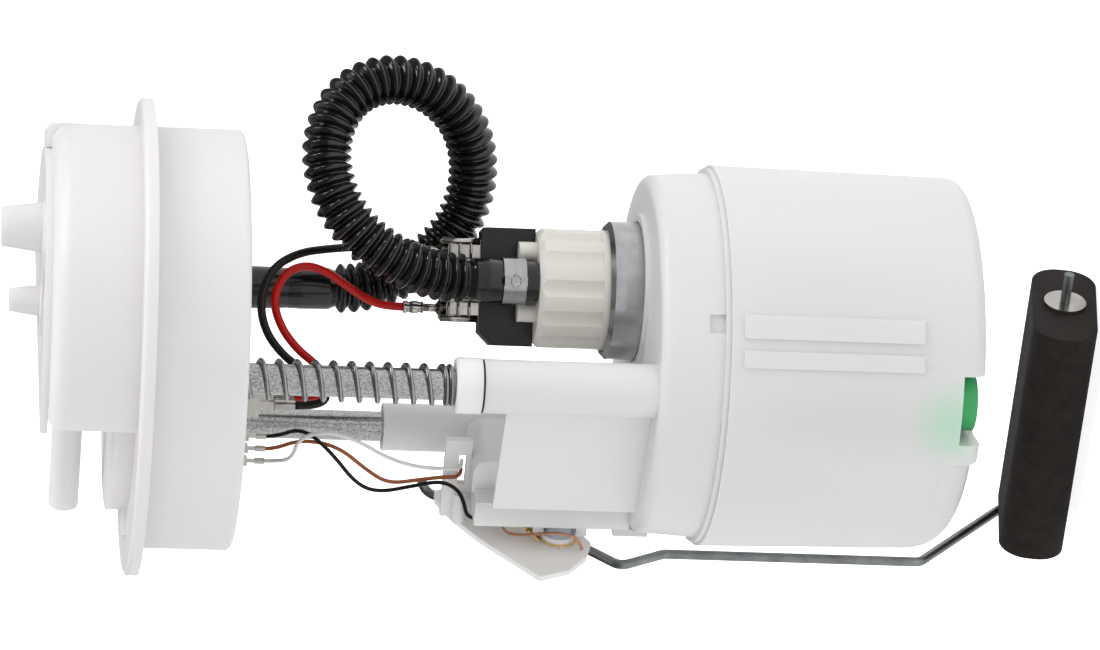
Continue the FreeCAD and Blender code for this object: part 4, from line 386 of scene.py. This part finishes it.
# Painted glow and painted shade where the foot valve, the well, the pump and the webs show through the
# wall:
# the green glow of the foot valve and grey shades of the others, each as the place, reach, tint, share
# and flatness of a painted patch.
RESERVOIR_PAINTED_SHOW_THROUGH = (
    ((-0.0106, 0.052, -0.2150), 0.017, (0.42, 0.86, 0.56), 0.62),
    ((-0.0106, 0.052, -0.1900), 0.016, (0.66, 0.66, 0.66), 0.30, 0.35),
    ((-0.0320, 0.030, -0.1800), 0.034, (0.72, 0.715, 0.72), 0.22, 0.7),
    ((0.0000, 0.030, -0.1130), 0.0085, (0.62, 0.585, 0.595), 0.62, 0.24),
)


# Each material slot of the record: how it is made, its colour and its other looks.
LOOKS = {
    "cap_plastic": (milky_plastic, (0.86, 0.845, 0.84), {"clear": 0.12, "roughness": 0.38}),
    "reservoir_plastic": (milky_plastic, (0.85, 0.838, 0.836),
                          {"clear": 0.14, "roughness": 0.34, "painted_show_through": RESERVOIR_PAINTED_SHOW_THROUGH}),
    "sender_plastic": (milky_plastic, (0.87, 0.86, 0.856), {"clear": 0.16, "roughness": 0.32}),
    "pump_plastic": (milky_plastic, (0.72, 0.70, 0.655), {"clear": 0.04, "roughness": 0.36}),
    "white_disc": (milky_plastic, (0.90, 0.89, 0.875), {"clear": 0.06, "roughness": 0.36}),
    "green_plastic": (opaque_plastic, (0.045, 0.40, 0.13), {}),
    "black_plastic": (opaque_plastic, (0.0075, 0.0075, 0.008), {"roughness": 0.36}),
    "hub_plastic": (opaque_plastic, (0.40, 0.45, 0.50), {}),
    "ceramic_card": (opaque_plastic, (0.70, 0.70, 0.64), {"roughness": 0.5}),
    "carbon": (opaque_plastic, (0.03, 0.03, 0.03), {"roughness": 0.55}),
    "magnet": (opaque_plastic, (0.07, 0.07, 0.075), {"roughness": 0.6}),
    "seal_rubber": (opaque_plastic, (0.02, 0.02, 0.02), {"roughness": 0.6}),
    "zinc_steel": (speckled_zinc, (0.58, 0.60, 0.59), {}),
    "spring_steel": (sheet_metal, (0.36, 0.365, 0.37), {"roughness": 0.26, "spangle": 0.18}),
    "can_steel": (sheet_metal, (0.43, 0.437, 0.443), {"roughness": 0.20, "spangle": 0.16}),
    "dark_steel": (sheet_metal, (0.27, 0.285, 0.29), {"roughness": 0.34, "spangle": 0.25}),
    "winding_core": (sheet_metal, (0.45, 0.30, 0.20), {"roughness": 0.4, "grain": (1, 1, 60)}),
    "tin": (sheet_metal, (0.49, 0.475, 0.44), {"roughness": 0.17, "spangle": 0.22}),
    "brass": (sheet_metal, (0.80, 0.58, 0.25), {"roughness": 0.24, "spangle": 0.10}),
    "copper": (braided_copper, (0.72, 0.38, 0.24), {}),
    "hose_rubber": (glossy_rubber, (0.0035, 0.0035, 0.0045), {"roughness": 0.15}),
    "red_wire": (wire_jacket, (0.44, 0.004, 0.002), {}),
    "black_wire": (wire_jacket, (0.006, 0.006, 0.006), {}),
    "brown_wire": (wire_jacket, (0.30, 0.085, 0.030), {}),
    "white_wire": (wire_jacket, (0.74, 0.735, 0.72), {}),
    "float_foam": (cell_foam, (0.0165, 0.0118, 0.0100), {}),
    "filter_mesh": (woven_filter, (0.66, 0.67, 0.66), {}),
}


def make_materials():
    """A material for each slot, by the slot's name."""
    return {slot: make(slot, color, **looks) for slot, (make, color, looks) in LOOKS.items()}


# Objects and meshes

def new_object(name, data):
    """Add an object to the scene for a mesh, a curve, a lamp or a camera."""
    made = bpy.data.objects.new(name, data)
    bpy.context.scene.collection.objects.link(made)
    return made


def finish_piece(name, verts, faces, slot):
    """A smooth mesh object with its material, from lists of corners and faces."""
    mesh = bpy.data.meshes.new(name)
    mesh.from_pydata([tuple(v) for v in verts], [], faces)
    mesh.validate()
    mesh.materials.append(MATERIALS[slot])
    mesh.shade_smooth()
    piece = new_object(name, mesh)
    return piece


def nurbs_line(points):
    """Points along a smooth curve whose control points are the route's."""
    data = bpy.data.curves.new("route", "CURVE")
    data.dimensions = "3D"
    data.resolution_u = 24
    spline = data.splines.new("NURBS")
    spline.points.add(len(points) - 1)
    for control, place in zip(spline.points, points):
        control.co = (*place, 1)
    spline.order_u = 3
    spline.use_endpoint_u = True
    holder = new_object("route", data)
    bpy.context.view_layer.update()
    mesh = bpy.data.meshes.new_from_object(holder)
    line = np.array([v.co for v in mesh.vertices])
    bpy.data.objects.remove(holder)
    bpy.data.meshes.remove(mesh)
    return line


def distances(line):
    """The distance along a line at each of its points."""
    steps = np.linalg.norm(np.diff(line, axis=0), axis=1)
    return np.concatenate([[0], np.cumsum(steps)])


def respaced(line, step):
    """The same line with points an even step apart."""
    lengths = distances(line)
    marks = np.linspace(0, lengths[-1], max(2, round(lengths[-1] / step) + 1))
    return np.stack([np.interp(marks, lengths, line[:, axis]) for axis in range(3)], axis=1)


def swept(line, radii, sides):
    """Corners and faces of a closed rod round a line, with a radius at each of its points."""
    line = np.asarray(line, float)
    tangents = np.gradient(line, axis=0)
    tangents /= np.linalg.norm(tangents, axis=1)[:, None]
    side = Vector(tangents[0]).orthogonal().normalized()
    verts, faces = [], []
    for place, way, radius in zip(line, tangents, radii):
        way = Vector(way)
        side = (side - way * side.dot(way)).normalized()
        other = way.cross(side)
        for corner in range(sides):
            angle = 2 * math.pi * corner / sides
            verts.append(Vector(place) + radius * (side * math.cos(angle) + other * math.sin(angle)))
    for ring in range(len(line) - 1):
        low, high = ring * sides, (ring + 1) * sides
        for corner in range(sides):
            ahead = (corner + 1) % sides
            faces.append((low + corner, low + ahead, high + ahead, high + corner))
    last = (len(line) - 1) * sides
    faces.append(tuple(reversed(range(sides))))
    faces.append(tuple(range(last, last + sides)))
    return verts, faces


def tube(name, line, radius_at, slot, sides):
    """A closed tube round a line; radius_at gives the radius at a distance along it."""
    radii = [radius_at(length) for length in distances(line).tolist()]
    verts, faces = swept(line, radii, sides)
    return finish_piece(name, verts, faces, slot)


# Hose, wires, braid and springs

def make_hose():
    """A convoluted rubber hose with smooth cuffs on both ends."""
    cuff, ridge, groove, pitch = 0.00575, 0.00685, 0.0050, 0.0032
    cap_cuff, pump_cuff = 0.0515, 0.0195  # lengths of the smooth ends
    ridge_fullness = 0.62  # under 1 rounds the ridges out
    ease_length = 0.002  # over which a cuff widens from the groove
    flare, flare_length = 0.00035, 0.036
    nipple_end, dip, dip_reach = 0.038, 0.0002, 0.004
    swell, swell_place, swell_reach = 0.00045, 0.006, 0.005
    points_per_ridge = 10
    line = respaced(nurbs_line(HOSE_ROUTE), pitch / points_per_ridge)
    total = float(distances(line)[-1])
    first, last = cap_cuff, total - pump_cuff
    turns = round((last - first) / pitch)

    def radius_at(length):
        if first < length < last:
            wave = 0.5 - 0.5 * math.cos(2 * math.pi * turns * (length - first) / (last - first))
            return groove + (ridge - groove) * wave ** ridge_fullness
        if length <= first:
            ease = min(1, (first - length) / ease_length)
            mouth = flare * math.cos(min(1, length / flare_length) * math.pi / 2)
            return (groove + (cuff - groove + mouth) * ease
                    - dip * max(0, 1 - abs(length - nipple_end) / dip_reach))
        ease = min(1, (length - last) / ease_length)
        return (groove + (cuff - groove) * ease
                + swell * max(0, 1 - abs(length - last - swell_place) / swell_reach))

    piece = tube("fuel_hose_tube", line, radius_at, "hose_rubber", sides=40)
    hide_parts("fuel_hose")
    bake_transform(piece)


def make_wires():
    """The pump's and the sender's wires, each as a round jacket along its route."""
    step_share = 0.7  # how far apart a wire's rings are, as a share of its radius
    for name, (route, radius, slot) in WIRES.items():
        line = respaced(nurbs_line(route), radius * step_share)
        piece = tube(name + "_jacket", line, lambda length: radius, slot, sides=16)
        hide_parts(name)
        top, bottom = sorted((Vector(route[0]), Vector(route[-1])), key=lambda end: -end.z)
        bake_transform(piece)
        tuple(route[0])


def make_braid():
    """A short copper braid from the sender's tin plate to the hub."""
    thin, bulge, waves = 0.00042, 0.00006, 9000  # the waves in radians along each metre

    def radius_at(length):
        return thin + bulge * math.sin(length * waves)

    line = respaced(nurbs_line(BRAID), step=0.00025)
    piece = tube("sender_braid_strands", line, radius_at, "copper", sides=12)
    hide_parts("sender_braid")
    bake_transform(piece)


def coil_line(middle, radius, wire, start, end, pitch, closed):
    """Points along an upright coil, from one height to the other.

    The wire is given by its radius, and closed is the number of turns that touch at each end.
    """
    open_length = end - start - 2 * closed * 2 * wire
    turns = round(open_length / pitch)
    steps_per_turn = 40
    total = 2 * closed + turns
    line = []
    for index in range(int(total * steps_per_turn) + 1):
        turn = index / steps_per_turn
        if turn < closed:
            height = start + turn * 2 * wire
        elif turn > total - closed:
            height = end - (total - turn) * 2 * wire
        else:
            height = start + closed * 2 * wire + (turn - closed) * open_length / turns
        angle = 2 * math.pi * turn
        line.append((middle.x + radius * math.cos(angle), middle.y + radius * math.sin(angle), height))
    return line


def make_spring():
    """A compression spring of drawn wire with closed ends, round the front rod."""
    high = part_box("coil_spring")[1]
    rod_low, rod_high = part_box("guide_rod_front")
    middle = (rod_low + rod_high) / 2
    bush_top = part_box("guide_bush")[1].z
    wire = 0.0007
    line = coil_line(middle, 0.0050, wire, bush_top + wire, high.z - wire, pitch=0.00477, closed=1.4)
    piece = tube("spring_wire", line, lambda length: wire, "spring_steel", sides=12)
    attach(piece, "flange")
    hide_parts("coil_spring")
    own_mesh(piece)


def make_valve_spring():
    """The light spring over the ball in the pump's outlet, which the ball presses up when it lifts."""
    low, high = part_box("check_valve_spring")
    middle = (low + high) / 2
    wire = 0.00025
    radius = (high.x - low.x) / 2 - wire
    line = coil_line(middle, radius, wire, low.z + wire, high.z - wire, pitch=0.0015, closed=1.0)
    piece = tube("valve_spring_wire", line, lambda length: wire, "spring_steel", sides=10)
    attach(piece, "reservoir")
    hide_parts("check_valve_spring")
    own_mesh(piece)


PUMP_X = Vector((-0.866, -0.5, 0.0))  # the pump's own cross axes, seen in the row's frame
PUMP_Y = Vector((0.5, -0.866, 0.0))


class Mesh:
    """Corners and faces of one piece, gathered from plates and rods.

    Places are given along the pump's own cross axes u and v from a middle, and by height.
    """

    def __init__(self):
        self.middle = Vector((0, 0, 0))
        self.verts = []
        self.faces = []

    def add(self, verts, faces):
        start = len(self.verts)
        self.verts += verts
        self.faces += [tuple(start + corner for corner in face) for face in faces]

    def place(self, u, v, z):
        return Vector((self.middle.x, self.middle.y, z)) + PUMP_X * u + PUMP_Y * v

    def prism(self, outline, v_low, v_high):
        """A plate whose outline is given as (u, z) corners."""
        count = len(outline)
        faces = [tuple(range(count)), tuple(reversed(range(count, 2 * count)))]
        for index in range(count):
            ahead = (index + 1) % count
            faces.append((index, count + index, count + ahead, ahead))
        self.add([self.place(u, v, z) for v in (v_low, v_high) for u, z in outline], faces)

    def rod(self, line, radii, sides=14):
        """A closed rod through points given as (u, v, z)."""
        self.add(*swept([self.place(*point) for point in line], radii, sides))


def make_receptacles():
    """The push-on receptacles on the pump's blades: rolled sides, straps and a crimped barrel."""
    low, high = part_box("pump_terminals")
    half_wide, half_thick, sheet = 0.0037, 0.0013, 0.0004
    roll, neck_half_wide, neck_slope = 0.00105, 0.0011, 0.0006
    crimp_end, neck_end = high.z - 0.0054, high.z - 0.0096
    rail = half_wide - roll
    bend_below, tip_below = 0.0008, 0.0002  # the rolled sides' bend and tip, under the neck
    strap_shares = (0.22, 0.5, 0.74)  # places of the straps along the body
    strap_radius, strap_depth, strap_back = 0.00038, 0.0011, 0.0002
    barrel_radius, barrel_pinch, half_waves = 0.00172, 0.16, 3.5
    neck_radii, overlap = (0.0008, 0.0012), 0.0004
    made = Mesh()
    for route in (RED_WIRE, BLACK_WIRE):
        made.middle = Vector(route[0])
        made.prism([(-rail, low.z), (rail, low.z), (rail, neck_end - neck_slope),
                    (neck_half_wide, neck_end + neck_slope), (neck_half_wide, crimp_end),
                    (-neck_half_wide, crimp_end), (-neck_half_wide, neck_end + neck_slope),
                    (-rail, neck_end - neck_slope)], half_thick - sheet, half_thick)
        for sign in (-1, 1):
            made.rod([(sign * rail, 0, low.z), (sign * rail, 0, neck_end - bend_below),
                      (sign * rail * 0.8, 0, neck_end - tip_below)], [roll, roll, roll * 0.5])
        for share in strap_shares:
            z = low.z + (neck_end - low.z) * share
            arc = [(rail * math.cos(turn), strap_back - strap_depth * math.sin(turn), z)
                   for turn in np.linspace(0, math.pi, 13).tolist()]
            made.rod(arc, [strap_radius] * len(arc), sides=8)
        marks = np.linspace(0, 1, 28).tolist()
        made.rod([(0, 0, crimp_end + (high.z - crimp_end) * mark) for mark in marks],
                 [barrel_radius * (1 - barrel_pinch * max(0, math.sin(mark * half_waves * math.pi)))
                  for mark in marks], sides=20)
        made.rod([(0, 0.0005, neck_end - overlap), (0, 0.0003, crimp_end + overlap)], neck_radii)
    piece = finish_piece("pump_receptacles", made.verts, made.faces, "tin")
    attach(piece, "reservoir")
    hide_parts("pump_terminals")


def make_clamp_ear():
    """A plain oval bead on the side of the clamp that faces against the pump's axis v."""
    half_across, half_high, thick = 0.0017, 0.0013, 0.00022
    bead_width = 0.17  # as a share of the oval
    sunk, same_face = 0.00005, 0.0004
    around, sides = 28, 8
    upwards = Vector((0, 0, 1))
    out = -PUMP_Y.normalized()
    across = out.cross(upwards)
    clamp = NODES["hose_clamp"]
    corners = [clamp.matrix_world @ v.co for v in clamp.data.vertices]
    front = max(corner.dot(out) for corner in corners)
    face = [corner for corner in corners if corner.dot(out) > front - same_face]
    middle = out * front + across * sum(corner.dot(across) for corner in face) / len(face)
    middle.z = sum(corner.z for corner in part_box("hose_clamp")) / 2
    verts, faces = [], []
    for step in range(around):
        angle = 2 * math.pi * step / around
        spoke = across * math.cos(angle) * half_across + upwards * math.sin(angle) * half_high
        for corner in range(sides):
            turn = 2 * math.pi * corner / sides
            verts.append(middle - out * sunk + spoke * (1 + bead_width * math.cos(turn))
                         + out * thick * math.sin(turn))
            ahead, beside = (step + 1) % around, (corner + 1) % sides
            faces.append((step * sides + corner, ahead * sides + corner, ahead * sides + beside,
                          step * sides + beside))
    piece = finish_piece("clamp_bead", verts, faces, "zinc_steel")
    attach(piece, "reservoir")


def dress_cad_nodes():
    """Every node that stays gets the material of its slot."""
    for part in frame["record"]["subparts"]:
        node = NODES[part["node"]]
        node.data.materials.clear()
        node.data.materials.append(MATERIALS[part["material_slot"]])


# Stage: pale floor, white surroundings and soft lamps

WHITE_ROOM = 0.98  # strength of the white surroundings
MIRRORED_ROOM = 0.17  # their strength in reflections, which keeps metal and rubber deep
FLOOR_GLOW = 0.9  # what the camera sees of the floor besides its own light
FLOOR_HALF = 60.0
FLOOR_GAP = 0.0004


def make_room():
    """White surroundings that are darker in reflections."""
    world = bpy.data.worlds.new("studio")
    bpy.context.scene.world = world
    world.use_nodes = True
    tree = world.node_tree
    background = tree.nodes["Background"]
    background.inputs["Color"].default_value = (1, 1, 1, 1)
    path = tree.nodes.new("ShaderNodeLightPath")
    strength = tree.nodes.new("ShaderNodeMapRange")
    strength.inputs["To Min"].default_value = WHITE_ROOM
    strength.inputs["To Max"].default_value = MIRRORED_ROOM
    tree.links.new(path.outputs["Is Glossy Ray"], strength.inputs["Value"])
    tree.links.new(strength.outputs["Result"], background.inputs["Strength"])


def make_floor():
    height, half = CAD_BOX[0].z - FLOOR_GAP, FLOOR_HALF
    mesh = bpy.data.meshes.new("floor")
    mesh.from_pydata([(-half, -half, height), (half, -half, height), (half, half, height),
                      (-half, half, height)], [], [(0, 1, 2, 3)])
    shader = Shader("floor", (0.86, 0.86, 0.86), roughness=0.7, Specular_IOR_Level=0.0)
    shader.set("Emission Color", (1, 1, 1, 1))
    path = shader.node("ShaderNodeLightPath")
    glow = shader.node("ShaderNodeMath", operation="MULTIPLY")
    glow.inputs[1].default_value = FLOOR_GLOW
    shader.link(path.outputs["Is Camera Ray"], glow.inputs[0])
    shader.link(glow.outputs["Value"], shader.bsdf.inputs["Emission Strength"])
    mesh.materials.append(shader.material)
    floor = new_object("floor", mesh)


def make_lamps(seen):
    """Round lamps about the middle of the module, placed by the photograph's directions."""
    right, up, towards = (Vector(axis) for axis in zip(*seen.transposed()))
    middle = (CAD_BOX[0] + CAD_BOX[1]) / 2
    # Each lamp's name, place from the middle, width and power.
    lamps = (
        ("key_lamp", up * 0.9 + towards * 0.9 + right * -0.35, 0.5, 3.2),
        ("side_lamp", up * -0.6 + towards * 0.5 + right * 0.9, 0.5, 1.2),
        ("top_lamp", Vector((0.1, -0.1, 1.3)), 0.8, 1.5),
        ("spark_lamp", up * 0.7 + towards * 1.2 + right * 0.1, 0.10, 1.6),
    )
    for name, way, width, power in lamps:
        data = bpy.data.lights.new(name, "AREA")
        data.shape, data.size, data.energy = "DISK", width, power
        lamp = new_object(name, data)
        lamp.location = middle + way
        lamp.rotation_euler = (-way).to_track_quat("-Z", "Y").to_euler()


bpy.context.scene.view_settings.view_transform = "Standard"
seen = make_camera()
MATERIALS = make_materials()
dress_cad_nodes()
make_hose()
make_wires()
make_braid()
make_spring()
make_valve_spring()
make_receptacles()
make_clamp_ear()
make_room()
make_floor()
make_lamps(seen)
